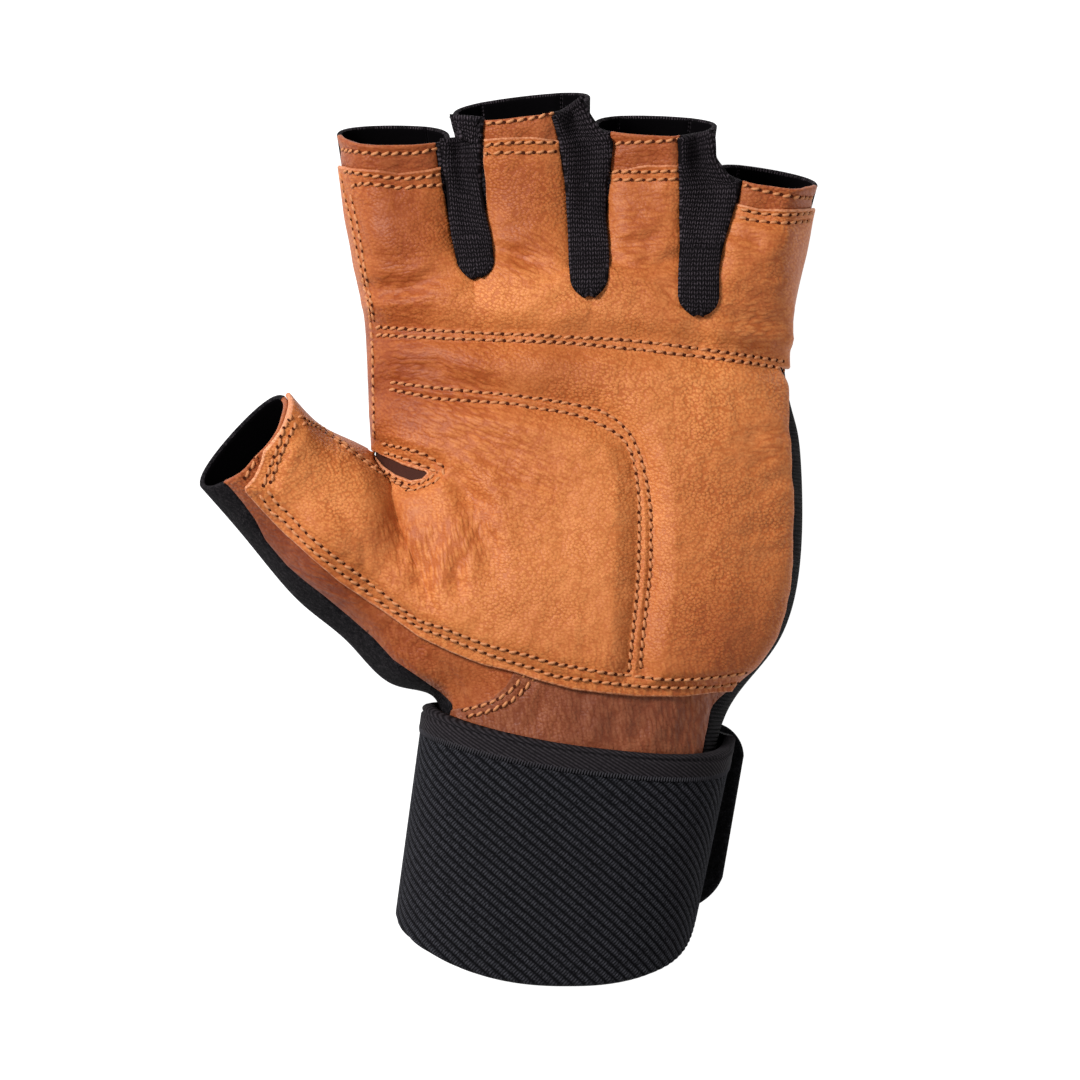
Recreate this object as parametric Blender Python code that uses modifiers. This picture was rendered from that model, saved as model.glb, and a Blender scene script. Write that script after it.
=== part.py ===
"""Fingerless weightlifting glove for the left hand, with a wide elastic wrist wrap.

The glove lies on its back with the palm up. X runs from the thumb side to the little finger,
Y from the wrist to the fingers and Z up, out of the palm. Lengths are in metres.
The hand form is one coarse cage with a subdivision surface on it. Its faces carry a zone, and each
sewn panel is a wall of its own thickness laid on the faces of its zones.
"""

import math
from collections import namedtuple

import bmesh
import bpy
from mathutils import Vector
from mathutils.kdtree import KDTree

# Palm: breadth over the knuckles, wrist crease to finger webs, and thickness at the knuckles
HAND_BREADTH = 0.100
PALM_LENGTH = 0.118
PALM_DEPTH = 0.036

# Finger stalls, as the middle finger's, and how far the back of each rim stands past its front
FINGER_LENGTH = 0.030
FINGER_WIDTH = 0.030
FINGER_DEPTH = 0.023
FINGER_CURL = 0.0065
FINGER_RIM_SLANT = 0.24
WEB_SLIT = 0.0008

# Thumb stall at its open end, its length past the crotch of the thumb, its aim and its rise
THUMB_LENGTH = 0.030
THUMB_WIDTH = 0.026
THUMB_DEPTH = 0.023
THUMB_AIM = math.radians(138)
THUMB_RISE = 0.016
THUMB_RIM_SLANT = 0.37
THUMB_WAIST = (0.09, -0.15)  # share by which the upper half is narrower, from the crotch
THUMB_LOWER = (-0.03, -0.08)  # the same of the lower half

# Glove cuff inside the wrist wrap
WRIST_WIDTH = 0.0685
WRIST_DEPTH = 0.041
WRIST_OFFSET = -0.0006
WRIST_TAPER = 0.045
CUFF_LENGTH = 0.014

# Walls and seams
LEATHER = 0.0013
KNIT = 0.0013
PROUD_KNIT = 0.0007
OVERLAY_LEATHER = 0.0012
PAD_RISE = 0.0022
SEAM_GAP = 0.0004
FOURCHETTE_STRIP = 0.0046
GUSSET_STRIP = 0.0050
HEM_WIDTH = 0.0064
CHANNEL_WIDTH = 0.0060

# Wrist wrap, its binding and its closure tab
WRAP_CLEARANCE = 0.0008
WRAP_THICKNESS = 0.0026
WRAP_HEIGHT = 0.0425
WRAP_FRONT_DROP = 0.0170
WRAP_TOP_DIP = 0.0062
WRAP_TOP_SLOPE = 0.0076
WRAP_SKEW = 0.25
WRAP_DRIFT = 0.0074
BINDING_HEIGHT = 0.0055
TAB_THICKNESS = 0.0020
TAB_WIDTH = 0.052
TAB_TOP = 0.0030
TAB_HEIGHT = 0.045
TAB_CORNER = 0.010
TAB_OVERHANG = 0.0030
TAB_RISE = 0.0080

# Resolution of the form, and of the wrap
FORM_LEVEL = 1
WRAP_SIDES = 40
WRAP_ROWS = 3
BINDING_ROWS = 1
TAB_COLUMNS = 12

FRONT_COLUMNS = 4  # of the cage, across the palm side of one finger or of the thumb
BACK_COLUMNS = 3  # of the cage, across its back
STALL_RINGS = 2  # of the cage, past the web
FINGERS = 4
SQUARENESS = 2.5  # exponent of the section curves, 2 for an ellipse
BACK_STATION = 0.62
FIT_ROUNDS = 5

# The wrist's section is centred at this height over the ground, above the tab and the wrap
WRIST_MID_HEIGHT = TAB_THICKNESS + SEAM_GAP + WRAP_THICKNESS + WRAP_CLEARANCE + WRIST_DEPTH / 2

# Zones of the form, kept as material numbers on its faces
PALM, BACK, THUMB_BACK, GUSSET, WEB_1, WEB_2, WEB_3 = range(7)

# Heel of the hand, from the wrist up to the crotch of the thumb. x is a share of HAND_BREADTH,
# y of PALM_LENGTH and the heights of PALM_DEPTH. lobes is how far the thumb stands apart, and
# lift how much higher its outer side is.
HeelRow = namedtuple(
    "HeelRow", "thumb_x thumb_y split_x split_y little_x little_y mid front back lobes lift"
)
HEEL_ROWS = (
    HeelRow(-0.337, 0.064, -0.240, 0.078, 0.354, 0.055, 0.70, 1.31, 0.160, 0.00, 0.00),
    HeelRow(-0.445, 0.102, -0.298, 0.200, 0.470, 0.186, 0.67, 1.33, 0.125, 0.00, 0.03),
    HeelRow(-0.551, 0.190, -0.405, 0.370, 0.525, 0.365, 0.62, 1.27, 0.060, 0.15, 0.10),
    HeelRow(-0.668, 0.272, -0.486, 0.559, 0.525, 0.555, 0.58, 1.15, 0.020, 1.00, 0.20),
)

# Palm from the crotch of the thumb up to the finger webs, in the same shares. gusset is the
# width of the last column as a share of GUSSET_STRIP.
PalmRow = namedtuple("PalmRow", "left_y right_y left_x right_x mid front back lobes gusset")
PALM_ROWS = (
    PalmRow(0.705, 0.640, -0.491, 0.510, 0.54, 1.09, -0.035, 0.00, 0.75),
    PalmRow(0.822, 0.738, -0.498, 0.485, 0.51, 1.03, -0.050, 0.00, 0.30),
    PalmRow(0.880, 0.835, -0.509, 0.492, 0.49, 1.00, -0.045, 0.05, 0.45),
    PalmRow(0.932, 0.918, -0.528, 0.511, 0.49, 0.97, 0.000, 0.30, 0.80),
)

# Edges of the fingers at the webs, from the thumb side, in shares of HAND_BREADTH and
# PALM_LENGTH. tongue is where the knit between two fingers ends on the palm, tongue_row the
# palm row at its end, and none of either at the outer edges.
WebPoint = namedtuple("WebPoint", "x y tongue tongue_row")
WEB_POINTS = (
    WebPoint(-0.544, 0.980, None, None),
    WebPoint(-0.262, 0.989, 0.920, 3),
    WebPoint(0.024, 1.029, 0.892, 2),
    WebPoint(0.293, 0.989, 0.847, 2),
    WebPoint(0.528, 0.975, None, None),
)
TONGUE_ROUND = 0.034  # share of PALM_LENGTH by which a tongue's corners stand above its tip
WEB_MID, WEB_FRONT, WEB_BACK = 0.49, 0.945, 0.07

# Finger stalls from the index. end_x is the middle of the open end as a share of HAND_BREADTH,
# the next three are shares of the FINGER sizes, and tilt is the slope of the rim across. The
# strips are the widths at the open end of the side columns, as shares of FOURCHETTE_STRIP.
Stall = namedtuple("Stall", "end_x length width depth tilt left_strip right_strip")
STALLS = (
    Stall(-0.4450, 0.890, 0.893, 0.95, 0.00, 1.00, 0.65),
    Stall(-0.1400, 1.020, 1.080, 1.00, 0.12, 1.40, 1.75),
    Stall(0.1780, 0.870, 0.970, 0.96, -0.03, 0.80, 1.75),
    Stall(0.4480, 0.565, 0.785, 0.84, -0.17, 1.15, 1.00),
)

# Dents and folds of the palm side, in shares of HAND_BREADTH and PALM_LENGTH.
# depth and width are shares of PALM_DEPTH.
Fold = namedtuple("Fold", "x0 y0 x1 y1 depth width")
FOLDS = (
    Fold(-0.54, 0.912, -0.25, 0.940, 0.040, 0.16),
    Fold(-0.22, 0.945, -0.05, 0.915, 0.020, 0.12),
    Fold(0.05, 0.930, 0.25, 0.950, 0.022, 0.13),
    Fold(0.34, 0.885, 0.54, 0.875, 0.022, 0.12),
    Fold(-0.50, 0.745, -0.33, 0.735, 0.030, 0.14),
    Fold(-0.37, 0.475, -0.40, 0.290, 0.045, 0.13),
    Fold(-0.29, 0.500, -0.29, 0.310, 0.035, 0.12),
    Fold(-0.32, 0.520, -0.14, 0.420, 0.025, 0.12),
    Fold(0.31, 0.080, 0.33, 0.030, 0.030, 0.07),
    Fold(0.24, 0.080, 0.27, 0.030, 0.025, 0.07),
)

# Quilting lines that hold the padded overlay down, in shares of HAND_BREADTH and PALM_LENGTH
LinePoint = namedtuple("LinePoint", "x y")
KNUCKLE_LINE = (
    LinePoint(-0.60, 0.820),
    LinePoint(-0.31, 0.813),
    LinePoint(-0.05, 0.801),
    LinePoint(0.17, 0.785),
    LinePoint(0.38, 0.757),
    LinePoint(0.60, 0.730),
)
HEEL_LINE = (
    LinePoint(-0.60, 0.702),
    LinePoint(-0.31, 0.692),
    LinePoint(-0.12, 0.676),
    LinePoint(0.024, 0.656),
    LinePoint(0.107, 0.605),
    LinePoint(0.155, 0.515),
    LinePoint(0.167, 0.393),
    LinePoint(0.155, 0.272),
    LinePoint(0.131, 0.080),
)
OVERLAY_LOWER_EDGE = (
    LinePoint(0.650, 0.087),
    LinePoint(0.374, 0.087),
    LinePoint(0.286, 0.077),
    LinePoint(0.143, 0.081),
    LinePoint(0.000, 0.095),
    LinePoint(-0.143, 0.121),
    LinePoint(-0.262, 0.155),
    LinePoint(-0.429, 0.228),
    LinePoint(-0.571, 0.313),
    LinePoint(-0.690, 0.404),
)
KEYHOLE = (
    LinePoint(-0.505, 0.600),
    LinePoint(-0.488, 0.578),
    LinePoint(-0.400, 0.549),
    LinePoint(-0.345, 0.532),
    LinePoint(-0.335, 0.518),
    LinePoint(-0.355, 0.507),
    LinePoint(-0.400, 0.510),
    LinePoint(-0.445, 0.527),
    LinePoint(-0.495, 0.550),
    LinePoint(-0.514, 0.577),
)
CUFF_EDGE = (
    LinePoint(0.600, 0.125),
    LinePoint(0.143, 0.112),
    LinePoint(-0.048, 0.140),
    LinePoint(-0.119, 0.138),
    LinePoint(-0.155, 0.098),
    LinePoint(-0.214, 0.069),
    LinePoint(-0.300, 0.054),
    LinePoint(-0.450, 0.045),
)
BELOW_ALL, ABOVE_ALL = -0.5, 2.5  # shares of PALM_DEPTH between which the cutting prisms reach
MARGIN = 0.9  # share of HAND_BREADTH, clear of the glove at either side

Ring = namedtuple("Ring", "front back")


# Plan and section helpers


def plan(point):
    """A table's point in the plan, from shares to metres."""
    return Vector((point.x * HAND_BREADTH, point.y * PALM_LENGTH))


def bulge(u, power=SQUARENESS):
    """Height over u, from -1 to 1, of a superellipse of height 1."""
    return max(0.0, 1.0 - abs(u) ** power) ** (1.0 / power)


def smooth(t):
    t = min(1.0, max(0.0, t))
    return t * t * (3.0 - 2.0 * t)


def front_shares(width, left_strip, right_strip):
    """Shares across a limb of its palm-side columns: a strip at each side and two between."""
    return [0.0, left_strip / width, 0.5, 1.0 - right_strip / width, 1.0]


def back_shares():
    return [0.0, (1.0 - BACK_STATION) / 2.0, (1.0 + BACK_STATION) / 2.0, 1.0]


def distance_to_segment(p, a, b):
    """Distance from p to the segment a b, and how far along it the nearest point is."""
    run = b - a
    t = max(0.0, min(1.0, (p - a).dot(run) / run.length_squared))
    return (p - a - run * t).length, t


def distance_to_line(p, line):
    return min(distance_to_segment(p, a, b)[0] for a, b in zip(line, line[1:]))


# The hand form


class Cage:
    """Points that the form passes through, and the faces of its coarse cage with their zones."""

    def __init__(self):
        self.points = []
        self.faces = []
        self.zones = []

    def add(self, point):
        self.points.append(Vector(point))
        return len(self.points) - 1

    def ring(self, front, back, pinched=()):
        """A ring from its palm-side and back points, which share both ends. At a pinched limb
        edge the back point is the front one, as at the web between two fingers."""
        front_ids = [self.add(p) for p in front]
        back_ids = [front_ids[0]]
        for i, p in enumerate(back[1:-1], 1):
            edge = i // BACK_COLUMNS if i % BACK_COLUMNS == 0 else None
            pinch = edge is not None and edge in pinched
            back_ids.append(front_ids[edge * FRONT_COLUMNS] if pinch else self.add(p))
        return Ring(front_ids, back_ids + [front_ids[-1]])

    def bridge(self, low, high, front_zone, back_zone):
        """Faces between two rings. The zones are functions of the column number."""
        for side, zone, turned in ((0, front_zone, False), (1, back_zone, True)):
            a, b = low[side], high[side]
            for i in range(len(a) - 1):
                face = [a[i], a[i + 1], b[i + 1], b[i]]
                self.faces.append(face[::-1] if turned else face)
                self.zones.append(zone(i))


def limbs_of(ring, first, last):
    """The part of a ring that runs round limbs first to last."""
    return Ring(
        ring.front[first * FRONT_COLUMNS : (last + 1) * FRONT_COLUMNS + 1],
        ring.back[first * BACK_COLUMNS : (last + 1) * BACK_COLUMNS + 1],
    )


def palm_shares(gusset=1.0):
    """Shares across the palm of its columns, from those of the fingers at the webs."""
    xs = [w.x * HAND_BREADTH for w in WEB_POINTS]
    front, back = [0.0], [0.0]
    for i in range(FINGERS):
        width = xs[i + 1] - xs[i]
        right = GUSSET_STRIP * gusset if i == FINGERS - 1 else FOURCHETTE_STRIP
        for s in front_shares(width, FOURCHETTE_STRIP, right)[1:]:
            front.append((xs[i] + s * width - xs[0]) / (xs[-1] - xs[0]))
        for s in back_shares()[1:]:
            back.append((xs[i] + s * width - xs[0]) / (xs[-1] - xs[0]))
    return front, back


def lobe_height(share, edges, mid, crown):
    """Height of a row of rounded lobes between the given edges, from mid at each edge to crown."""
    for a, b in zip(edges, edges[1:]):
        if share <= b + 1e-9:
            return mid + (crown - mid) * bulge(2.0 * (share - a) / (b - a) - 1.0)
    return mid


def wrist_middle(y):
    """x of the middle of the wrist at y."""
    return WRIST_OFFSET + WRAP_DRIFT * y / WRAP_HEIGHT


def wrist_scale(y):
    """Width of the wrist at y as a share of its width at the palm."""
    return 1.0 + WRIST_TAPER * y / WRAP_HEIGHT


def wrist_ring_points(y, front, back):
    """Section of the cuff. Shares run over the angle, so that the sides stay round."""
    half = WRIST_WIDTH / 2.0 * wrist_scale(y)
    drift = wrist_middle(y)

    def side(shares, sign):
        out = []
        for s in shares:
            u = 2.0 * s - 1.0
            z = WRIST_MID_HEIGHT + sign * WRIST_DEPTH / 2.0 * bulge(u)
            out.append(Vector((u * half + drift, y, z)))
        return out

    return side(front, 1), side(back, -1)


def heel_shares():
    """Shares across the heel of its columns: the thumb's, then the palm's."""
    thumb_part = 0.20
    palm_front, palm_back = palm_shares()
    thumb_front = [thumb_part * s for s in (0.0, 0.26, 0.5, 0.78)]
    thumb_back = [thumb_part * s for s in back_shares()[:-1]]
    rest = 1.0 - thumb_part
    return (
        thumb_front + [thumb_part + rest * s for s in palm_front],
        thumb_back + [thumb_part + rest * s for s in palm_back],
        thumb_part,
    )


def heel_ring_points(row):
    """Section of the heel along the path from the thumb's edge over the split to the little
    finger's side. Where lobes is 1, the thumb and the palm have sections of their own."""
    front, back, thumb_part = heel_shares()
    thumb = plan(LinePoint(row.thumb_x, row.thumb_y))
    split = plan(LinePoint(row.split_x, row.split_y))
    little = plan(LinePoint(row.little_x, row.little_y))
    mid = row.mid * PALM_DEPTH

    def side(shares, crown):
        out = []
        for s in shares:
            if s <= thumb_part:
                p = thumb.lerp(split, s / thumb_part)
            else:
                p = split.lerp(little, (s - thumb_part) / (1.0 - thumb_part))
            reach = (split - thumb).length / ((split - thumb).length + (little - split).length)
            along = s / thumb_part * reach
            if s > thumb_part:
                along = reach + (s - thumb_part) / (1.0 - thumb_part) * (1.0 - reach)
            whole = mid + (crown - mid) * bulge(2.0 * along - 1.0)
            parts = lobe_height(s, (0.0, thumb_part, 1.0), mid, crown)
            lift = row.lift * PALM_DEPTH * max(0.0, 1.0 - s / thumb_part)
            out.append(Vector((p.x, p.y, whole + (parts - whole) * row.lobes + lift)))
        return out

    return side(front, row.front * PALM_DEPTH), side(back, row.back * PALM_DEPTH)


def palm_ring_points(row):
    front, back = palm_shares(row.gusset)
    xs = [w.x for w in WEB_POINTS]
    edges = [(x - xs[0]) / (xs[-1] - xs[0]) for x in xs]
    mid = row.mid * PALM_DEPTH

    def side(shares, crown):
        out = []
        for s in shares:
            whole = mid + (crown - mid) * bulge(2.0 * s - 1.0)
            parts = lobe_height(s, edges, mid, crown)
            x = (row.left_x + s * (row.right_x - row.left_x)) * HAND_BREADTH
            y = (row.left_y + s * (row.right_y - row.left_y)) * PALM_LENGTH
            out.append(Vector((x, y, whole + (parts - whole) * row.lobes)))
        return out

    front_points = side(front, row.front * PALM_DEPTH)
    for i, web in enumerate(WEB_POINTS):
        if web.tongue_row == PALM_ROWS.index(row):
            tip = i * FRONT_COLUMNS
            front_points[tip].y = web.tongue * PALM_LENGTH
            for corner in (tip - 1, tip + 1):
                front_points[corner].y = (web.tongue + TONGUE_ROUND) * PALM_LENGTH
    return front_points, side(back, row.back * PALM_DEPTH)


def web_ring_points():
    """The ring at the finger webs: a rounded lobe for each finger, pinched to the middle height
    between them."""
    mid = WEB_MID * PALM_DEPTH
    sides = []
    for shares, crown in ((palm_shares()[0], WEB_FRONT), (palm_shares()[1], WEB_BACK)):
        xs = [w.x for w in WEB_POINTS]
        edges = [(x - xs[0]) / (xs[-1] - xs[0]) for x in xs]
        side = []
        for s in shares:
            i = max(k for k in range(FINGERS) if edges[k] <= s + 1e-9)
            t = (s - edges[i]) / (edges[i + 1] - edges[i])
            p = plan(WEB_POINTS[i]).lerp(plan(WEB_POINTS[i + 1]), t)
            side.append(Vector((p.x, p.y, lobe_height(s, edges, mid, crown * PALM_DEPTH))))
        sides.append(side)
    return sides


def stall_rings(cage, web_ring, finger):
    """The rings of one finger stall, from the web to its open end."""
    stall = STALLS[finger]
    left, right = plan(WEB_POINTS[finger]), plan(WEB_POINTS[finger + 1])
    web_mid = WEB_MID * PALM_DEPTH
    web_half = Vector(((WEB_FRONT - WEB_MID) * PALM_DEPTH, (WEB_MID - WEB_BACK) * PALM_DEPTH))
    end_half = FINGER_DEPTH * stall.depth / 2.0
    end_mid = web_mid + FINGER_CURL
    length = FINGER_LENGTH * stall.length
    rings = [limbs_of(web_ring, finger, finger)]
    for k in range(1, STALL_RINGS + 1):
        t = k / STALL_RINGS
        web_centre = (left + right) / 2.0
        centre_x = web_centre.x + (stall.end_x * HAND_BREADTH - web_centre.x) * t
        web_width = right.x - left.x - WEB_SLIT
        width = web_width + (FINGER_WIDTH * stall.width - web_width) * t
        base_slope = (right.y - left.y) / (right.x - left.x)
        slope = base_slope + (stall.tilt - base_slope) * t
        mid = web_mid + (end_mid - web_mid) * t * t
        sides = []
        strips = [FOURCHETTE_STRIP * (1.0 + (s - 1.0) * t) for s in (stall.left_strip, stall.right_strip)]
        for shares, sign, web_depth in (
            (front_shares(width, *strips), 1, web_half.x),
            (back_shares(), -1, web_half.y),
        ):
            half = web_depth + (end_half - web_depth) * t
            side = []
            for s in shares:
                u = 2.0 * s - 1.0
                z = sign * half * bulge(u)
                x = centre_x + u * width / 2.0
                y = web_centre.y + length * t + slope * (x - centre_x) - FINGER_RIM_SLANT * t * z
                side.append(Vector((x, y, mid + z)))
            sides.append(side)
        rings.append(cage.ring(*sides))
    return rings


def thumb_rings(cage, crotch_ring, row):
    """The rings of the thumb stall, from the crotch of the thumb to its open end."""
    lower = plan(LinePoint(row.thumb_x, row.thumb_y))
    upper = plan(LinePoint(row.split_x, row.split_y))
    aim = Vector((math.cos(THUMB_AIM), math.sin(THUMB_AIM)))
    across = Vector((aim.y, -aim.x))
    crotch_mid = row.mid * PALM_DEPTH
    crotch_half = Vector(((row.front - row.mid) * PALM_DEPTH, (row.mid - row.back) * PALM_DEPTH))
    root = (lower + upper) / 2.0
    root_vector = upper - lower
    front = [s / heel_shares()[2] for s in heel_shares()[0][: FRONT_COLUMNS + 1]]
    rings = [limbs_of(crotch_ring, 0, 0)]
    for k in range(1, STALL_RINGS + 1):
        t = k / STALL_RINGS
        centre = root + aim * THUMB_LENGTH * t
        vector = root_vector.lerp(across * THUMB_WIDTH, smooth(t) * 0.5 + t * 0.5)
        mid = crotch_mid + THUMB_RISE * t
        sides = []
        for shares, sign, crotch_depth in ((front, 1, crotch_half.x), (back_shares(), -1, crotch_half.y)):
            half = crotch_depth + (THUMB_DEPTH / 2.0 - crotch_depth) * t
            side = []
            for s in shares:
                z = sign * half * bulge(2.0 * s - 1.0)
                narrow = THUMB_WAIST[k - 1] if s > 0.5 else THUMB_LOWER[k - 1]
                p = centre + vector * (s - 0.5) * (1.0 - narrow) - aim * THUMB_RIM_SLANT * t * z
                side.append(Vector((p.x, p.y, mid + z)))
            sides.append(side)
        rings.append(cage.ring(*sides))
    return rings


def front_zone(first_limb, gusset=False, palm_row=-1):
    """Zone of each palm-side column of rings that start at first_limb, 0 being the thumb.
    palm_row is the row at the lower side of the faces."""

    def zone(i):
        limb, column = divmod(i + first_limb * FRONT_COLUMNS, FRONT_COLUMNS)
        if limb == 0 and column == 0:
            return THUMB_BACK
        if gusset and limb == FINGERS and column == FRONT_COLUMNS - 1:
            return GUSSET
        if limb > 0 and column in (0, FRONT_COLUMNS - 1):
            web = limb if column else limb - 1
            row = WEB_POINTS[web].tongue_row
            if row is not None and palm_row >= row:
                return WEB_1 + web - 1
        return PALM

    return zone


def back_zone(first_limb, gusset=False, web_row=False):
    """Zone of each column at the back of the hand. In the web row the knit between two fingers
    reaches down between the knuckles."""

    def zone(i):
        limb, column = divmod(i + first_limb * BACK_COLUMNS, BACK_COLUMNS)
        if limb == 0:
            return THUMB_BACK
        if gusset and limb == FINGERS and column == BACK_COLUMNS - 1:
            return GUSSET
        if web_row and column != 1:
            web = limb if column else limb - 1
            if 0 < web < FINGERS:
                return WEB_1 + web - 1
        return BACK

    return zone


def stall_front_zone(finger):
    def zone(i):
        if i == 0 and finger > 0:
            return WEB_1 + finger - 1
        if i == FRONT_COLUMNS - 1 and finger < FINGERS - 1:
            return WEB_1 + finger
        return PALM

    return zone


def stall_back_zone(finger):
    def zone(i):
        if i == 0 and finger > 0:
            return WEB_1 + finger - 1
        if i == BACK_COLUMNS - 1 and finger < FINGERS - 1:
            return WEB_1 + finger
        return BACK

    return zone


def hand_cage():
    cage = Cage()
    rings = [cage.ring(*wrist_ring_points(-CUFF_LENGTH, *heel_shares()[:2]))]
    for row in HEEL_ROWS[:-1]:
        rings.append(cage.ring(*heel_ring_points(row)))
    crotch = cage.ring(*heel_ring_points(HEEL_ROWS[-1]), pinched=(1,))
    rings.append(crotch)
    for low, high in zip(rings, rings[1:]):
        cage.bridge(low, high, front_zone(0, True), back_zone(0, True))

    thumb = thumb_rings(cage, crotch, HEEL_ROWS[-1])
    for low, high in zip(thumb, thumb[1:]):
        cage.bridge(low, high, lambda i: THUMB_BACK if i == 0 else PALM, lambda i: THUMB_BACK)

    palm = [limbs_of(crotch, 1, FINGERS)]
    palm += [cage.ring(*palm_ring_points(row)) for row in PALM_ROWS]
    web = cage.ring(*web_ring_points(), pinched=(1, 2, 3))
    palm.append(web)
    for k, (low, high) in enumerate(zip(palm, palm[1:])):
        in_gusset, in_web = k < 2, k == len(palm) - 2
        cage.bridge(low, high, front_zone(1, in_gusset, k - 1), back_zone(1, in_gusset, in_web))

    for finger in range(FINGERS):
        stall = stall_rings(cage, web, finger)
        for low, high in zip(stall, stall[1:]):
            cage.bridge(low, high, stall_front_zone(finger), stall_back_zone(finger))
    return cage


def fold_depth(x, y):
    """How far the folds press the palm side in at a place in the plan."""
    p = Vector((x, y))
    depth = 0.0
    for fold in FOLDS:
        a = plan(LinePoint(fold.x0, fold.y0))
        b = plan(LinePoint(fold.x1, fold.y1))
        distance, along = distance_to_segment(p, a, b)
        spread = fold.width * PALM_DEPTH
        taper = 0.35 + 0.65 * math.sin(math.pi * min(0.98, max(0.02, along)))
        depth += fold.depth * PALM_DEPTH * taper * math.exp(-((2.0 * distance / spread) ** 2))
    return depth


def subdivided(cage_points, cage, level):
    """The cage's surface at a level, as a mesh that keeps the zones as material numbers."""
    mesh = bpy.data.meshes.new("hand_form")
    mesh.from_pydata(cage_points, [], cage.faces)
    for polygon, zone in zip(mesh.polygons, cage.zones):
        polygon.material_index = zone
    form = bpy.data.objects.new("hand_form", mesh)
    bpy.context.scene.collection.objects.link(form)
    modifier = form.modifiers.new("round", "SUBSURF")
    modifier.levels = modifier.render_levels = level
    bpy.context.view_layer.update()
    graph = bpy.context.evaluated_depsgraph_get()
    smooth_mesh = bpy.data.meshes.new_from_object(form.evaluated_get(graph))
    bpy.data.objects.remove(form)
    bpy.data.meshes.remove(mesh)
    return smooth_mesh


def hand_form():
    """The outer face of the base glove: a smooth surface through the cage's points, pressed in
    at the folds and flat where it lies on the ground."""
    cage = hand_cage()
    cage_points = [p.copy() for p in cage.points]
    for _ in range(FIT_ROUNDS):
        mesh = subdivided(cage_points, cage, FORM_LEVEL)
        for i, wanted in enumerate(cage.points):
            cage_points[i] += wanted - mesh.vertices[i].co
        bpy.data.meshes.remove(mesh)
    mesh = subdivided(cage_points, cage, FORM_LEVEL)
    form = bmesh.new()
    form.from_mesh(mesh)
    bpy.data.meshes.remove(mesh)
    form.normal_update()
    for vertex in form.verts:
        facing = smooth(vertex.normal.z / 0.5)
        vertex.co -= vertex.normal * fold_depth(vertex.co.x, vertex.co.y) * facing
        vertex.co.z = max(0.0, vertex.co.z)
    bmesh.ops.triangulate(form, faces=form.faces)
    form.normal_update()
    return form


# Panels


def material(name, colour, roughness, metallic=0.0):
    made = bpy.data.materials.new(name)
    made.use_nodes = True
    shader = made.node_tree.nodes["Principled BSDF"]
    shader.inputs["Base Color"].default_value = (*colour, 1.0)
    shader.inputs["Roughness"].default_value = roughness
    shader.inputs["Metallic"].default_value = metallic
    return made


def add_part(name, mesh, finish, collection):
    part = bpy.data.objects.new(name, mesh)
    mesh.materials.clear()
    mesh.materials.append(finish)
    mesh.polygons.foreach_set("material_index", [0] * len(mesh.polygons))
    mesh.shade_smooth()
    mesh.set_sharp_from_angle(angle=math.radians(40))
    collection.objects.link(part)
    return part


def wall(form, zones, inner, outer):
    """A closed wall on the form's faces in the zones, between two heights along the form's
    normals. outer is a function of a point of the form. It stops half a seam gap short of its
    neighbours, and its rim is split as theirs are, so that the gap stays even."""
    panel = form.copy()
    tree = KDTree(len(panel.verts))
    normals = [v.normal.copy() for v in panel.verts]
    for i, v in enumerate(panel.verts):
        tree.insert(v.co, i)
    tree.balance()
    others = [f for f in panel.faces if f.material_index not in zones]
    bmesh.ops.delete(panel, geom=others, context="FACES")
    ring = bmesh.ops.inset_region(
        panel, faces=panel.faces, thickness=SEAM_GAP / 2.0, use_boundary=True, use_even_offset=True
    )
    bmesh.ops.delete(panel, geom=ring["faces"], context="FACES")
    made = bmesh.new()
    above, below, source = {}, {}, {}
    for v in panel.verts:
        source[v] = tree.find(v.co)[1]
        normal = normals[source[v]]
        top = v.co + normal * outer(v.co, normal)
        bottom = v.co + normal * inner
        above[v] = made.verts.new((top.x, top.y, max(0.0, top.z)))
        below[v] = made.verts.new(bottom)
    for face in panel.faces:
        made.faces.new([above[v] for v in face.verts])
        made.faces.new([below[v] for v in reversed(face.verts)])
    for edge in panel.edges:
        if len(edge.link_loops) == 1:
            loop = edge.link_loops[0]
            a, b = loop.vert, loop.link_loop_next.vert
            if source[a] < source[b]:
                made.faces.new([above[b], above[a], below[b]])
                made.faces.new([above[a], below[a], below[b]])
            else:
                made.faces.new([above[b], above[a], below[a]])
                made.faces.new([above[b], below[a], below[b]])
    panel.free()
    mesh = bpy.data.meshes.new("wall")
    made.to_mesh(mesh)
    made.free()
    return mesh


def prism(name, outline, helpers):
    """An upright prism over an outline in the plan, for cutting."""
    curve = bpy.data.curves.new(name, "CURVE")
    curve.dimensions = "2D"
    curve.fill_mode = "BOTH"
    curve.extrude = (ABOVE_ALL - BELOW_ALL) * PALM_DEPTH / 2.0
    spline = curve.splines.new("POLY")
    spline.points.add(len(outline) - 1)
    for point, p in zip(spline.points, outline):
        point.co = (p.x, p.y, 0.0, 1.0)
    spline.use_cyclic_u = True
    drawn = bpy.data.objects.new(name, curve)
    drawn.location.z = (ABOVE_ALL + BELOW_ALL) * PALM_DEPTH / 2.0
    helpers.objects.link(drawn)
    bpy.context.view_layer.update()
    graph = bpy.context.evaluated_depsgraph_get()
    mesh = bpy.data.meshes.new_from_object(drawn.evaluated_get(graph))
    mesh.transform(drawn.matrix_world)
    bpy.data.objects.remove(drawn)
    solid = bmesh.new()
    solid.from_mesh(mesh)
    bmesh.ops.remove_doubles(solid, verts=solid.verts, dist=1e-6)
    bmesh.ops.recalc_face_normals(solid, faces=solid.faces)
    solid.to_mesh(mesh)
    solid.free()
    cutter = bpy.data.objects.new(name, mesh)
    cutter.hide_render = True
    cutter.display_type = "WIRE"
    helpers.objects.link(cutter)
    return cutter


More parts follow.
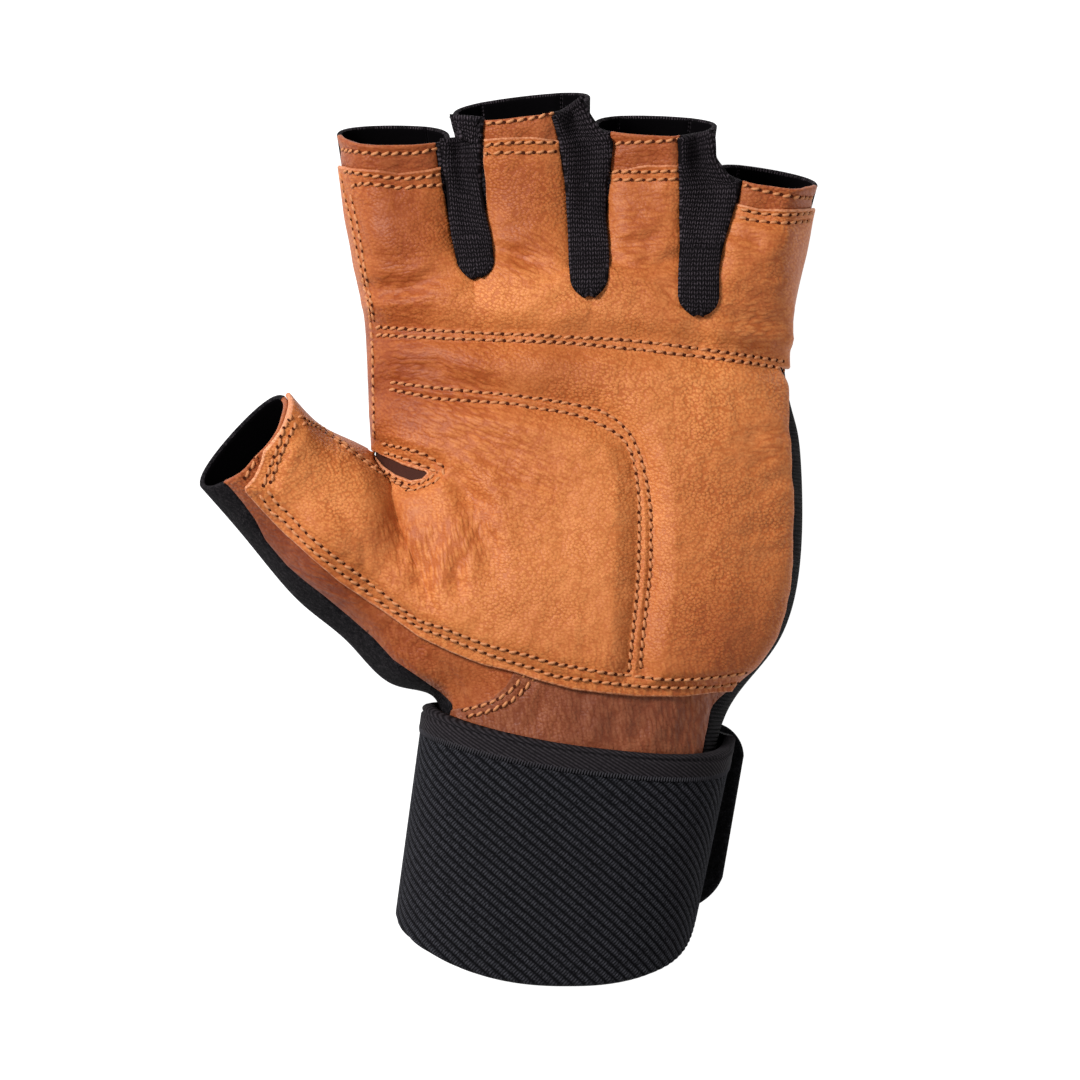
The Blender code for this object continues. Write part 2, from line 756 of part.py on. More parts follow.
def cut(part, cutter, operation):
    modifier = part.modifiers.new(cutter.name, "BOOLEAN")
    modifier.operation = operation
    modifier.object = cutter
    modifier.solver = "EXACT"


def shifted_out(outline, amount):
    """A closed outline moved outwards by an amount, negative for inwards."""
    area = sum(a.cross(b) for a, b in zip(outline, outline[1:] + outline[:1]))
    turn = 1.0 if area > 0 else -1.0
    out = []
    count = len(outline)
    for i, p in enumerate(outline):
        before = (p - outline[i - 1]).normalized()
        after = (outline[(i + 1) % count] - p).normalized()
        normal = Vector((before.y + after.y, -before.x - after.x)) * turn
        out.append(p + normal.normalized() * amount)
    return out


def hem_line(finger):
    """Two points of the overlay's top edge on a finger stall, a hem's width below its rim."""
    stall = STALLS[finger]
    left, right = plan(WEB_POINTS[finger]), plan(WEB_POINTS[finger + 1])
    depth = FINGER_DEPTH * stall.depth / 2.0
    x = stall.end_x * HAND_BREADTH
    y = (left.y + right.y) / 2.0 + FINGER_LENGTH * stall.length
    y -= FINGER_RIM_SLANT * depth + HEM_WIDTH
    half = FINGER_WIDTH * stall.width / 2.0
    return [Vector((x + side * half, y + side * half * stall.tilt)) for side in (-1, 1)]


def overlay_outline():
    """Plan of the leather overlay: a hem's width short of the finger ends and of the thumb's
    end, down to the curved lower edge at the heel."""
    outline = []
    for finger in range(FINGERS):
        left, right = hem_line(finger)
        if finger == 0:
            left = Vector((-MARGIN * HAND_BREADTH, left.y))
        if finger == FINGERS - 1:
            right = right + (right - left)
        outline += [left, right]
    outline += [plan(p) for p in OVERLAY_LOWER_EDGE]
    aim = Vector((math.cos(THUMB_AIM), math.sin(THUMB_AIM)))
    across = Vector((aim.y, -aim.x))
    row = HEEL_ROWS[-1]
    root = (plan(LinePoint(row.thumb_x, row.thumb_y)) + plan(LinePoint(row.split_x, row.split_y))) / 2
    end = root + aim * (THUMB_LENGTH - HEM_WIDTH / 2 - THUMB_RIM_SLANT * THUMB_DEPTH / 2)
    outline += [end - across * THUMB_WIDTH * 0.42, end + across * THUMB_WIDTH * 1.5]
    return outline


def pad_height(point, normal):
    """Thickness of the overlay over the form: thin along its edges, the quilting lines and the
    sides of the hand, and full over the padding between them."""
    p = point.to_2d()
    near = distance_to_line(p, [plan(q) for q in KNUCKLE_LINE])
    near = min(near, distance_to_line(p, [plan(q) for q in HEEL_LINE]))
    near = min(near, distance_to_line(p, [plan(q) for q in OVERLAY_LOWER_EDGE]))
    near = min(near, distance_to_line(p, [plan(q) for q in KEYHOLE]))
    web_y = min(w.y for w in WEB_POINTS) * PALM_LENGTH
    near = min(near, max(0.0, web_y - p.y))
    padding = PAD_RISE * smooth(near / CHANNEL_WIDTH) * smooth(normal.z / 0.7)
    return SEAM_GAP + OVERLAY_LEATHER + padding


def flush(_point, _normal):
    return 0.0


def proud(_point, normal):
    """The knit between two fingers stands out on the palm side only."""
    return PROUD_KNIT * smooth(normal.z / 0.7)


def leather_panels(form, finishes, collection, helpers):
    zones = {PALM}
    below = [plan(p) for p in CUFF_EDGE]
    margin = MARGIN * HAND_BREADTH
    cuff_outline = below + [Vector((-margin, -margin)), Vector((margin, -margin))]
    cuff_cutter = prism("cuff_cutter", cuff_outline, helpers)
    rest_cutter = prism("rest_cutter", shifted_out(cuff_outline, SEAM_GAP), helpers)

    palm = add_part("palm_leather", wall(form, zones, -LEATHER, flush), finishes["leather"], collection)
    cut(palm, rest_cutter, "DIFFERENCE")
    cuff = add_part("cuff_leather", wall(form, zones, -LEATHER, flush), finishes["dark_leather"], collection)
    cut(cuff, cuff_cutter, "INTERSECT")

    overlay = add_part("palm_overlay", wall(form, zones, SEAM_GAP, pad_height), finishes["leather"], collection)
    cut(overlay, prism("overlay_outline", overlay_outline(), helpers), "INTERSECT")
    cut(overlay, prism("keyhole", [plan(p) for p in KEYHOLE], helpers), "DIFFERENCE")


def knit_panels(form, finishes, collection):
    add_part("back_panel", wall(form, {BACK}, -KNIT, flush), finishes["knit"], collection)
    add_part("thumb_back", wall(form, {THUMB_BACK}, -KNIT, flush), finishes["fleece"], collection)
    add_part("side_gusset", wall(form, {GUSSET}, -KNIT, flush), finishes["rib"], collection)
    names = ("fourchette_index_middle", "fourchette_middle_ring", "fourchette_ring_little")
    for zone, name in zip((WEB_1, WEB_2, WEB_3), names):
        add_part(name, wall(form, {zone}, -KNIT, proud), finishes["knit"], collection)


# Wrist wrap


def wrap_point(angle, share, grow):
    """A point of the wrap's section at an angle, 0 at the little finger's side and a quarter
    turn at the palm side. share runs from the lower edge to the upper, and grow is the distance
    outside the cuff."""
    c, s = math.cos(angle), math.sin(angle)
    power = 2.0 / SQUARENESS
    u = math.copysign(abs(c) ** power, c)
    w = math.copysign(abs(s) ** power, s)
    low = -WRAP_HEIGHT - WRAP_FRONT_DROP * dip(u, s)
    high = WRAP_TOP_SLOPE * (1.0 - u) / 2.0 - WRAP_TOP_DIP * dip(u, s)
    y = low + (high - low) * share
    x = u * (WRIST_WIDTH / 2.0 + grow) * wrist_scale(y) + wrist_middle(y)
    return Vector((x, y, WRIST_MID_HEIGHT + w * (WRIST_DEPTH / 2.0 + grow)))


def dip(u, toward_palm):
    """How low the wrap's edges hang at u across the wrist: up to 1 at the palm side, a little
    past the middle, and below 0 at the back of the wrist, where they stand up."""
    if toward_palm < 0:
        return -0.3 * bulge(u) ** 1.8
    skewed = u - WRAP_SKEW * (1.0 - u * u)
    return bulge(skewed) ** (1.3 - 0.6 * max(0.0, skewed))


def band(name, low, high, rows, finish, collection):
    """A closed band of the wrap between two shares of its height, each a function of the angle:
    a tube, thickened outwards."""
    mesh = bpy.data.meshes.new(name)
    made = bmesh.new()
    rings = []
    for j in range(rows + 1):
        share = j / rows
        ring = []
        for i in range(WRAP_SIDES):
            angle = 2.0 * math.pi * i / WRAP_SIDES
            a = wrap_point(angle, low(angle), WRAP_CLEARANCE)
            b = wrap_point(angle, high(angle), WRAP_CLEARANCE)
            ring.append(made.verts.new(a.lerp(b, share)))
        rings.append(ring)
    for a, b in zip(rings, rings[1:]):
        for i in range(WRAP_SIDES):
            k = (i + 1) % WRAP_SIDES
            made.faces.new([a[k], a[i], b[i], b[k]])
    made.to_mesh(mesh)
    made.free()
    part = add_part(name, mesh, finish, collection)
    modifier = part.modifiers.new("thickness", "SOLIDIFY")
    modifier.thickness = WRAP_THICKNESS
    modifier.offset = 1.0
    modifier.use_even_offset = True
    return part


def wrist_wrap(finishes, collection):
    """The elastic band and the tape bound over its upper edge."""

    def seam(angle):
        low = wrap_point(angle, 0.0, 0.0).y
        high = wrap_point(angle, 1.0, 0.0).y
        return 1.0 - BINDING_HEIGHT / (high - low)

    def under_seam(angle):
        low = wrap_point(angle, 0.0, 0.0).y
        high = wrap_point(angle, 1.0, 0.0).y
        return seam(angle) - SEAM_GAP / (high - low)

    band("wrist_wrap", lambda a: 0.0, under_seam, WRAP_ROWS, finishes["elastic"], collection)
    band("wrap_binding", seam, lambda a: 1.0, BINDING_ROWS, finishes["tape"], collection)


def tab_half_height(x, left, right):
    """Half the tab's height at x: it is rounded at both ends."""
    near = min(x - left, right - x)
    if near >= TAB_CORNER:
        return TAB_HEIGHT / 2.0
    cut_back = TAB_CORNER - math.sqrt(max(0.0, TAB_CORNER**2 - (TAB_CORNER - near) ** 2))
    return TAB_HEIGHT / 2.0 - cut_back


def closure_tab(finishes, collection):
    """The stiff hook tab that closes the wrap: flat on the ground under the wrap's back, with
    its free end curving up past the little finger's side."""
    right = WRIST_WIDTH / 2.0 + WRAP_CLEARANCE + WRAP_THICKNESS + TAB_OVERHANG
    left = right - TAB_WIDTH
    middle = TAB_TOP - TAB_HEIGHT / 2.0
    bend = WRIST_WIDTH / 2.0 * 0.55
    made = bmesh.new()
    rows = []
    for i in range(TAB_COLUMNS + 1):
        t = 0.5 - 0.5 * math.cos(math.pi * (0.04 + 0.92 * i / TAB_COLUMNS))
        x = left + t * (right - left)
        half = tab_half_height(x, left, right)
        rise = TAB_RISE * max(0.0, (x - bend) / (right - bend)) ** 1.8
        row = []
        for y, z in ((-half, 0.0), (half, 0.0), (half, TAB_THICKNESS), (-half, TAB_THICKNESS)):
            drift = wrist_middle(middle + y)
            row.append(made.verts.new((x + drift, middle + y, z + rise)))
        rows.append(row)
    for a, b in zip(rows, rows[1:]):
        for k in range(4):
            m = (k + 1) % 4
            made.faces.new([a[k], a[m], b[m], b[k]])
    made.faces.new(rows[0][::-1])
    made.faces.new(rows[-1])
    bmesh.ops.recalc_face_normals(made, faces=made.faces)
    mesh = bpy.data.meshes.new("closure_tab")
    made.to_mesh(mesh)
    made.free()
    add_part("closure_tab", mesh, finishes["hook"], collection)


def shift_to_origin(collection):
    """The move that puts the middle of the glove's underside at the origin."""
    bpy.context.view_layer.update()
    graph = bpy.context.evaluated_depsgraph_get()
    corners = []
    for piece in collection.objects:
        evaluated = piece.evaluated_get(graph)
        mesh = evaluated.to_mesh()
        corners += [evaluated.matrix_world @ v.co for v in mesh.vertices]
        evaluated.to_mesh_clear()
    low = [min(c[i] for c in corners) for i in range(3)]
    high = [max(c[i] for c in corners) for i in range(3)]
    return Vector((-(low[0] + high[0]) / 2.0, -(low[1] + high[1]) / 2.0, -low[2]))


def main():
    for thing in list(bpy.data.objects):
        bpy.data.objects.remove(thing)
    collection = bpy.data.collections.new("weightlifting_glove")
    helpers = bpy.data.collections.new("cutters")
    for made in (collection, helpers):
        bpy.context.scene.collection.children.link(made)
    finishes = {
        "leather": material("tan_leather", (0.56, 0.22, 0.07), 0.5),
        "dark_leather": material("brown_leather", (0.33, 0.12, 0.045), 0.6),
        "knit": material("black_knit", (0.015, 0.015, 0.018), 0.9),
        "fleece": material("black_fleece", (0.013, 0.013, 0.016), 0.95),
        "rib": material("black_rib", (0.014, 0.014, 0.016), 0.9),
        "elastic": material("black_elastic", (0.016, 0.016, 0.018), 0.85),
        "tape": material("black_tape", (0.02, 0.02, 0.022), 0.85),
        "hook": material("black_hook", (0.012, 0.012, 0.013), 0.8),
    }
    form = hand_form()
    leather_panels(form, finishes, collection, helpers)
    knit_panels(form, finishes, collection)
    form.free()
    wrist_wrap(finishes, collection)
    closure_tab(finishes, collection)
    shift = shift_to_origin(collection)
    for part in list(collection.objects) + list(helpers.objects):
        part.location += shift


main()
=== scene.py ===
"""Looks of the fingerless weightlifting glove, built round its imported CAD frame.

The glove lies on its back, palm up, and the camera looks straight down on the palm. The hand form
is the same cage as the solids', made finer, and every sewn panel is a wall on the faces of its
zone. Lengths are in metres. Seams, stitches and creases are drawn in the photograph's pixels and
projected onto the form.
"""

import math
from collections import namedtuple

import bpy
import numpy as np
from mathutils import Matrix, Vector, noise
from mathutils.bvhtree import BVHTree
from mathutils.kdtree import KDTree

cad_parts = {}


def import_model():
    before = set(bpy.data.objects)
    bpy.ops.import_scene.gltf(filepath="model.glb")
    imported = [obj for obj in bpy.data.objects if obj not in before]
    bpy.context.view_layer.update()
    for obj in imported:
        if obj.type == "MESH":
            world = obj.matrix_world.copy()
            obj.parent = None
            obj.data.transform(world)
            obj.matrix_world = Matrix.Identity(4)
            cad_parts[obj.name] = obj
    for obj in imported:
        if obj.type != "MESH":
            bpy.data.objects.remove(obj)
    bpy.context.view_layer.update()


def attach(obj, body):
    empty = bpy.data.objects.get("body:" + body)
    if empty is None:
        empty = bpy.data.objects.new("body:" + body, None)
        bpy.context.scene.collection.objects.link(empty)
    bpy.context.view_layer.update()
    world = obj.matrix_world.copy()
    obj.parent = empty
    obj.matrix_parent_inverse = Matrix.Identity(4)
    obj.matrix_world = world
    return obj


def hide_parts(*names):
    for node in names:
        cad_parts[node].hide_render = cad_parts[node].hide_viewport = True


# Palm: breadth over the knuckles, wrist crease to finger webs, and thickness at the knuckles
HAND_BREADTH = 0.100
PALM_LENGTH = 0.118
PALM_DEPTH = 0.036

# Finger stalls, as the middle finger's, and how far the back of each rim stands past its front
FINGER_LENGTH = 0.030
FINGER_WIDTH = 0.030
FINGER_DEPTH = 0.023
FINGER_CURL = 0.0065
FINGER_RIM_SLANT = 0.24
WEB_SLIT = 0.0008

# Thumb stall at its open end, its length past the crotch of the thumb, its aim and its rise
THUMB_LENGTH = 0.030
THUMB_WIDTH = 0.026
THUMB_DEPTH = 0.023
THUMB_AIM = math.radians(138)
THUMB_RISE = 0.016
THUMB_RIM_SLANT = 0.37
THUMB_WAIST = (0.09, -0.15)  # share by which the upper half is narrower, from the crotch
THUMB_LOWER = (-0.03, -0.08)  # the same of the lower half

# Glove cuff inside the wrist wrap
WRIST_WIDTH = 0.0685
WRIST_DEPTH = 0.041
WRIST_OFFSET = -0.0006
WRIST_TAPER = 0.045
CUFF_LENGTH = 0.014

# Walls and seams
LEATHER = 0.0013
KNIT = 0.0013
PROUD_KNIT = 0.0007
OVERLAY_LEATHER = 0.0012
PAD_RISE = 0.0022
SEAM_GAP = 0.0004
FOURCHETTE_STRIP = 0.0046
GUSSET_STRIP = 0.0050
CHANNEL_WIDTH = 0.0060

# Wrist wrap, its binding and its closure tab
WRAP_CLEARANCE = 0.0008
WRAP_THICKNESS = 0.0026
WRAP_HEIGHT = 0.0425
WRAP_FRONT_DROP = 0.0170
WRAP_TOP_DIP = 0.0062
WRAP_TOP_SLOPE = 0.0076
WRAP_SKEW = 0.25
WRAP_DRIFT = 0.0074
BINDING_HEIGHT = 0.0055
TAB_THICKNESS = 0.0020
TAB_WIDTH = 0.052
TAB_TOP = 0.0030
TAB_HEIGHT = 0.045
TAB_CORNER = 0.010
TAB_OVERHANG = 0.0030
TAB_RISE = 0.0080

FRONT_COLUMNS = 4  # of the cage, across the palm side of one finger or of the thumb
BACK_COLUMNS = 3  # of the cage, across its back
STALL_RINGS = 2  # of the cage, past the web
FINGERS = 4
SQUARENESS = 2.5  # exponent of the section curves, 2 for an ellipse
BACK_STATION = 0.62

# The wrist's section is centred at this height over the ground, above the tab and the wrap
WRIST_MID_HEIGHT = TAB_THICKNESS + SEAM_GAP + WRAP_THICKNESS + WRAP_CLEARANCE + WRIST_DEPTH / 2

# Zones of the form, kept as material numbers on its faces
PALM, BACK, THUMB_BACK, GUSSET, WEB_1, WEB_2, WEB_3 = range(7)

# Heel of the hand, from the wrist up to the crotch of the thumb. x is a share of HAND_BREADTH,
# y of PALM_LENGTH and the heights of PALM_DEPTH. lobes is how far the thumb stands apart, and
# lift how much higher its outer side is.
HeelRow = namedtuple(
    "HeelRow", "thumb_x thumb_y split_x split_y little_x little_y mid front back lobes lift"
)
HEEL_ROWS = (
    HeelRow(-0.337, 0.064, -0.240, 0.078, 0.354, 0.055, 0.70, 1.31, 0.160, 0.00, 0.00),
    HeelRow(-0.445, 0.102, -0.298, 0.200, 0.470, 0.186, 0.67, 1.33, 0.125, 0.00, 0.03),
    HeelRow(-0.551, 0.190, -0.405, 0.370, 0.525, 0.365, 0.62, 1.27, 0.060, 0.15, 0.10),
    HeelRow(-0.668, 0.272, -0.486, 0.559, 0.525, 0.555, 0.58, 1.15, 0.020, 1.00, 0.20),
)

# Palm from the crotch of the thumb up to the finger webs, in the same shares. gusset is the
# width of the last column as a share of GUSSET_STRIP.
PalmRow = namedtuple("PalmRow", "left_y right_y left_x right_x mid front back lobes gusset")
PALM_ROWS = (
    PalmRow(0.705, 0.640, -0.491, 0.510, 0.54, 1.09, -0.035, 0.00, 0.75),
    PalmRow(0.822, 0.738, -0.498, 0.485, 0.51, 1.03, -0.050, 0.00, 0.30),
    PalmRow(0.880, 0.835, -0.509, 0.492, 0.49, 1.00, -0.045, 0.05, 0.45),
    PalmRow(0.932, 0.918, -0.528, 0.511, 0.49, 0.97, 0.000, 0.30, 0.80),
)

# Edges of the fingers at the webs, from the thumb side, in shares of HAND_BREADTH and
# PALM_LENGTH. tongue is where the knit between two fingers ends on the palm, tongue_row the
# palm row at its end, and none of either at the outer edges.
WebPoint = namedtuple("WebPoint", "x y tongue tongue_row")
WEB_POINTS = (
    WebPoint(-0.544, 0.980, None, None),
    WebPoint(-0.262, 0.989, 0.920, 3),
    WebPoint(0.024, 1.029, 0.892, 2),
    WebPoint(0.293, 0.989, 0.847, 2),
    WebPoint(0.528, 0.975, None, None),
)
TONGUE_ROUND = 0.034  # share of PALM_LENGTH by which a tongue's corners stand above its tip
WEB_MID, WEB_FRONT, WEB_BACK = 0.49, 0.945, 0.07
LOWEST_WEB = min(w.y for w in WEB_POINTS) * PALM_LENGTH

# Finger stalls from the index. end_x is the middle of the open end as a share of HAND_BREADTH,
# the next three are shares of the FINGER sizes, and tilt is the slope of the rim across. The
# strips are the widths at the open end of the side columns, as shares of FOURCHETTE_STRIP.
Stall = namedtuple("Stall", "end_x length width depth tilt left_strip right_strip")
STALLS = (
    Stall(-0.4450, 0.890, 0.893, 0.95, 0.00, 1.00, 0.65),
    Stall(-0.1400, 1.020, 1.080, 1.00, 0.12, 1.40, 1.75),
    Stall(0.1780, 0.870, 0.970, 0.96, -0.03, 0.80, 1.75),
    Stall(0.4480, 0.565, 0.785, 0.84, -0.17, 1.15, 1.00),
)

# Dents and folds of the palm side, in shares of HAND_BREADTH and PALM_LENGTH.
# depth and width are shares of PALM_DEPTH.
Fold = namedtuple("Fold", "x0 y0 x1 y1 depth width")
FOLDS = (
    Fold(-0.54, 0.912, -0.25, 0.940, 0.040, 0.16),
    Fold(-0.22, 0.945, -0.05, 0.915, 0.020, 0.12),
    Fold(0.05, 0.930, 0.25, 0.950, 0.022, 0.13),
    Fold(0.34, 0.885, 0.54, 0.875, 0.022, 0.12),
    Fold(-0.50, 0.745, -0.33, 0.735, 0.030, 0.14),
    Fold(-0.37, 0.475, -0.40, 0.290, 0.045, 0.13),
    Fold(-0.29, 0.500, -0.29, 0.310, 0.035, 0.12),
    Fold(-0.32, 0.520, -0.14, 0.420, 0.025, 0.12),
    Fold(0.31, 0.080, 0.33, 0.030, 0.030, 0.07),
    Fold(0.24, 0.080, 0.27, 0.030, 0.025, 0.07),
)

LinePoint = namedtuple("LinePoint", "x y")
Ring = namedtuple("Ring", "front back")

# Quads of the fine form across the narrow and the wide columns of the cage, and between its rings
FINE_LEVEL = 5
NARROW_CELLS, WIDE_CELLS = 8, 16
HEEL_CELLS = (16, 16, 32, 32)
PALM_CELLS = (32, 16, 8, 8, 16)


# Plan and section helpers


def plan(point):
    """A table's point in the plan, from shares to metres."""
    return Vector((point.x * HAND_BREADTH, point.y * PALM_LENGTH))


def bulge(u, power=SQUARENESS):
    """Height over u, from -1 to 1, of a superellipse of height 1."""
    return max(0.0, 1.0 - abs(u) ** power) ** (1.0 / power)


def smooth(t):
    t = min(1.0, max(0.0, t))
    return t * t * (3.0 - 2.0 * t)


def front_shares(width, left_strip, right_strip):
    """Shares across a limb of its palm-side columns: a strip at each side and two between."""
    return [0.0, left_strip / width, 0.5, 1.0 - right_strip / width, 1.0]


def back_shares():
    return [0.0, (1.0 - BACK_STATION) / 2.0, (1.0 + BACK_STATION) / 2.0, 1.0]


# The hand form


class Cage:
    """Points that the form passes through, and the faces of its coarse cage with their zones and
    with how far along the cloth, across and lengthways, each corner lies."""

    def __init__(self):
        self.points = []
        self.faces = []
        self.zones = []
        self.cloth = []
        self.cells = []
        self.counts = []
        self.places = {}

    def add(self, point):
        self.points.append(Vector(point))
        return len(self.points) - 1

    def ring(self, front, back, pinched=(), after=None):
        """A ring from its palm-side and back points, which share both ends. At a pinched limb
        edge the back point is the front one, as at the web between two fingers."""
        front_ids = [self.add(p) for p in front]
        back_ids = [front_ids[0]]
        for i, p in enumerate(back[1:-1], 1):
            edge = i // BACK_COLUMNS if i % BACK_COLUMNS == 0 else None
            pinch = edge is not None and edge in pinched
            back_ids.append(front_ids[edge * FRONT_COLUMNS] if pinch else self.add(p))
        ring = Ring(front_ids, back_ids + [front_ids[-1]])
        for side in (0, 1):
            self.lay_cloth(side, ring[side], after[side] if after else None)
        return ring

    def lay_cloth(self, side, ids, before):
        """Measures the cloth across a ring, and lengthways from the ring before it."""
        across = [0.0]
        for a, b in zip(ids, ids[1:]):
            across.append(across[-1] + (self.points[b] - self.points[a]).length)
        middle = len(ids) // 2
        start = self.places[side, before[middle]][0] - across[middle] if before else 0.0
        for k, i in enumerate(ids):
            along = 0.0
            if before:
                along = self.places[side, before[k]][1]
                along += (self.points[i] - self.points[before[k]]).length
            self.places[side, i] = (start + across[k], along)

    def bridge(self, low, high, front_zone, back_zone, cells=WIDE_CELLS):
        """Faces between two rings. The zones are functions of the column number, and cells is
        how many quads of the fine form fit between the rings."""
        for side, zone, turned in ((0, front_zone, False), (1, back_zone, True)):
            a, b = low[side], high[side]
            for i in range(len(a) - 1):
                face = [a[i], a[i + 1], b[i + 1], b[i]]
                cell = [(0, 0), (1, 0), (1, 1), (0, 1)]
                face, cell = (face[::-1], cell[::-1]) if turned else (face, cell)
                self.faces.append(face)
                self.zones.append(zone(i))
                self.cloth.append([self.places[side, k] for k in face])
                self.cells.append(cell)
                narrow = turned or i % FRONT_COLUMNS in (0, FRONT_COLUMNS - 1)
                self.counts.append((NARROW_CELLS if narrow else WIDE_CELLS, cells, turned))


def limbs_of(ring, first, last):
    """The part of a ring that runs round limbs first to last."""
    return Ring(
        ring.front[first * FRONT_COLUMNS : (last + 1) * FRONT_COLUMNS + 1],
        ring.back[first * BACK_COLUMNS : (last + 1) * BACK_COLUMNS + 1],
    )


def palm_shares(gusset=1.0):
    """Shares across the palm of its columns, from those of the fingers at the webs."""
    xs = [w.x * HAND_BREADTH for w in WEB_POINTS]
    front, back = [0.0], [0.0]
    for i in range(FINGERS):
        width = xs[i + 1] - xs[i]
        right = GUSSET_STRIP * gusset if i == FINGERS - 1 else FOURCHETTE_STRIP
        for s in front_shares(width, FOURCHETTE_STRIP, right)[1:]:
            front.append((xs[i] + s * width - xs[0]) / (xs[-1] - xs[0]))
        for s in back_shares()[1:]:
            back.append((xs[i] + s * width - xs[0]) / (xs[-1] - xs[0]))
    return front, back


def lobe_height(share, edges, mid, crown):
    """Height of a row of rounded lobes between the given edges, from mid at each edge to crown."""
    for a, b in zip(edges, edges[1:]):
        if share <= b + 1e-9:
            return mid + (crown - mid) * bulge(2.0 * (share - a) / (b - a) - 1.0)
    return mid


def wrist_middle(y):
    """x of the middle of the wrist at y."""
    return WRIST_OFFSET + WRAP_DRIFT * y / WRAP_HEIGHT


def wrist_scale(y):
    """Width of the wrist at y as a share of its width at the palm."""
    return 1.0 + WRIST_TAPER * y / WRAP_HEIGHT


def wrist_ring_points(y, front, back):
    """Section of the cuff. Shares run over the angle, so that the sides stay round."""
    half = WRIST_WIDTH / 2.0 * wrist_scale(y)
    drift = wrist_middle(y)

    def side(shares, sign):
        out = []
        for s in shares:
            u = 2.0 * s - 1.0
            z = WRIST_MID_HEIGHT + sign * WRIST_DEPTH / 2.0 * bulge(u)
            out.append(Vector((u * half + drift, y, z)))
        return out

    return side(front, 1), side(back, -1)


def heel_shares():
    """Shares across the heel of its columns: the thumb's, then the palm's."""
    thumb_part = 0.20
    palm_front, palm_back = palm_shares()
    thumb_front = [thumb_part * s for s in (0.0, 0.26, 0.5, 0.78)]
    thumb_back = [thumb_part * s for s in back_shares()[:-1]]
    rest = 1.0 - thumb_part
    return (
        thumb_front + [thumb_part + rest * s for s in palm_front],
        thumb_back + [thumb_part + rest * s for s in palm_back],
        thumb_part,
    )


def heel_ring_points(row):
    """Section of the heel along the path from the thumb's edge over the split to the little
    finger's side. Where lobes is 1, the thumb and the palm have sections of their own."""
    front, back, thumb_part = heel_shares()
    thumb = plan(LinePoint(row.thumb_x, row.thumb_y))
    split = plan(LinePoint(row.split_x, row.split_y))
    little = plan(LinePoint(row.little_x, row.little_y))
    mid = row.mid * PALM_DEPTH

    def side(shares, crown):
        out = []
        for s in shares:
            if s <= thumb_part:
                p = thumb.lerp(split, s / thumb_part)
            else:
                p = split.lerp(little, (s - thumb_part) / (1.0 - thumb_part))
            reach = (split - thumb).length / ((split - thumb).length + (little - split).length)
            along = s / thumb_part * reach
            if s > thumb_part:
                along = reach + (s - thumb_part) / (1.0 - thumb_part) * (1.0 - reach)
            whole = mid + (crown - mid) * bulge(2.0 * along - 1.0)
            parts = lobe_height(s, (0.0, thumb_part, 1.0), mid, crown)
            lift = row.lift * PALM_DEPTH * max(0.0, 1.0 - s / thumb_part)
            out.append(Vector((p.x, p.y, whole + (parts - whole) * row.lobes + lift)))
        return out

    return side(front, row.front * PALM_DEPTH), side(back, row.back * PALM_DEPTH)


def palm_ring_points(row):
    front, back = palm_shares(row.gusset)
    xs = [w.x for w in WEB_POINTS]
    edges = [(x - xs[0]) / (xs[-1] - xs[0]) for x in xs]
    mid = row.mid * PALM_DEPTH

    def side(shares, crown):
        out = []
        for s in shares:
            whole = mid + (crown - mid) * bulge(2.0 * s - 1.0)
            parts = lobe_height(s, edges, mid, crown)
            x = (row.left_x + s * (row.right_x - row.left_x)) * HAND_BREADTH
            y = (row.left_y + s * (row.right_y - row.left_y)) * PALM_LENGTH
            out.append(Vector((x, y, whole + (parts - whole) * row.lobes)))
        return out

    front_points = side(front, row.front * PALM_DEPTH)
    for i, web in enumerate(WEB_POINTS):
        if web.tongue_row == PALM_ROWS.index(row):
            tip = i * FRONT_COLUMNS
            front_points[tip].y = web.tongue * PALM_LENGTH
            for corner in (tip - 1, tip + 1):
                front_points[corner].y = (web.tongue + TONGUE_ROUND) * PALM_LENGTH
    return front_points, side(back, row.back * PALM_DEPTH)


def web_ring_points():
    """The ring at the finger webs: a rounded lobe for each finger, pinched to the middle height
    between them."""
    mid = WEB_MID * PALM_DEPTH
    sides = []
    for shares, crown in ((palm_shares()[0], WEB_FRONT), (palm_shares()[1], WEB_BACK)):
        xs = [w.x for w in WEB_POINTS]
        edges = [(x - xs[0]) / (xs[-1] - xs[0]) for x in xs]
        side = []
        for s in shares:
            i = max(k for k in range(FINGERS) if edges[k] <= s + 1e-9)
            t = (s - edges[i]) / (edges[i + 1] - edges[i])
            p = plan(WEB_POINTS[i]).lerp(plan(WEB_POINTS[i + 1]), t)
            side.append(Vector((p.x, p.y, lobe_height(s, edges, mid, crown * PALM_DEPTH))))
        sides.append(side)
    return sides


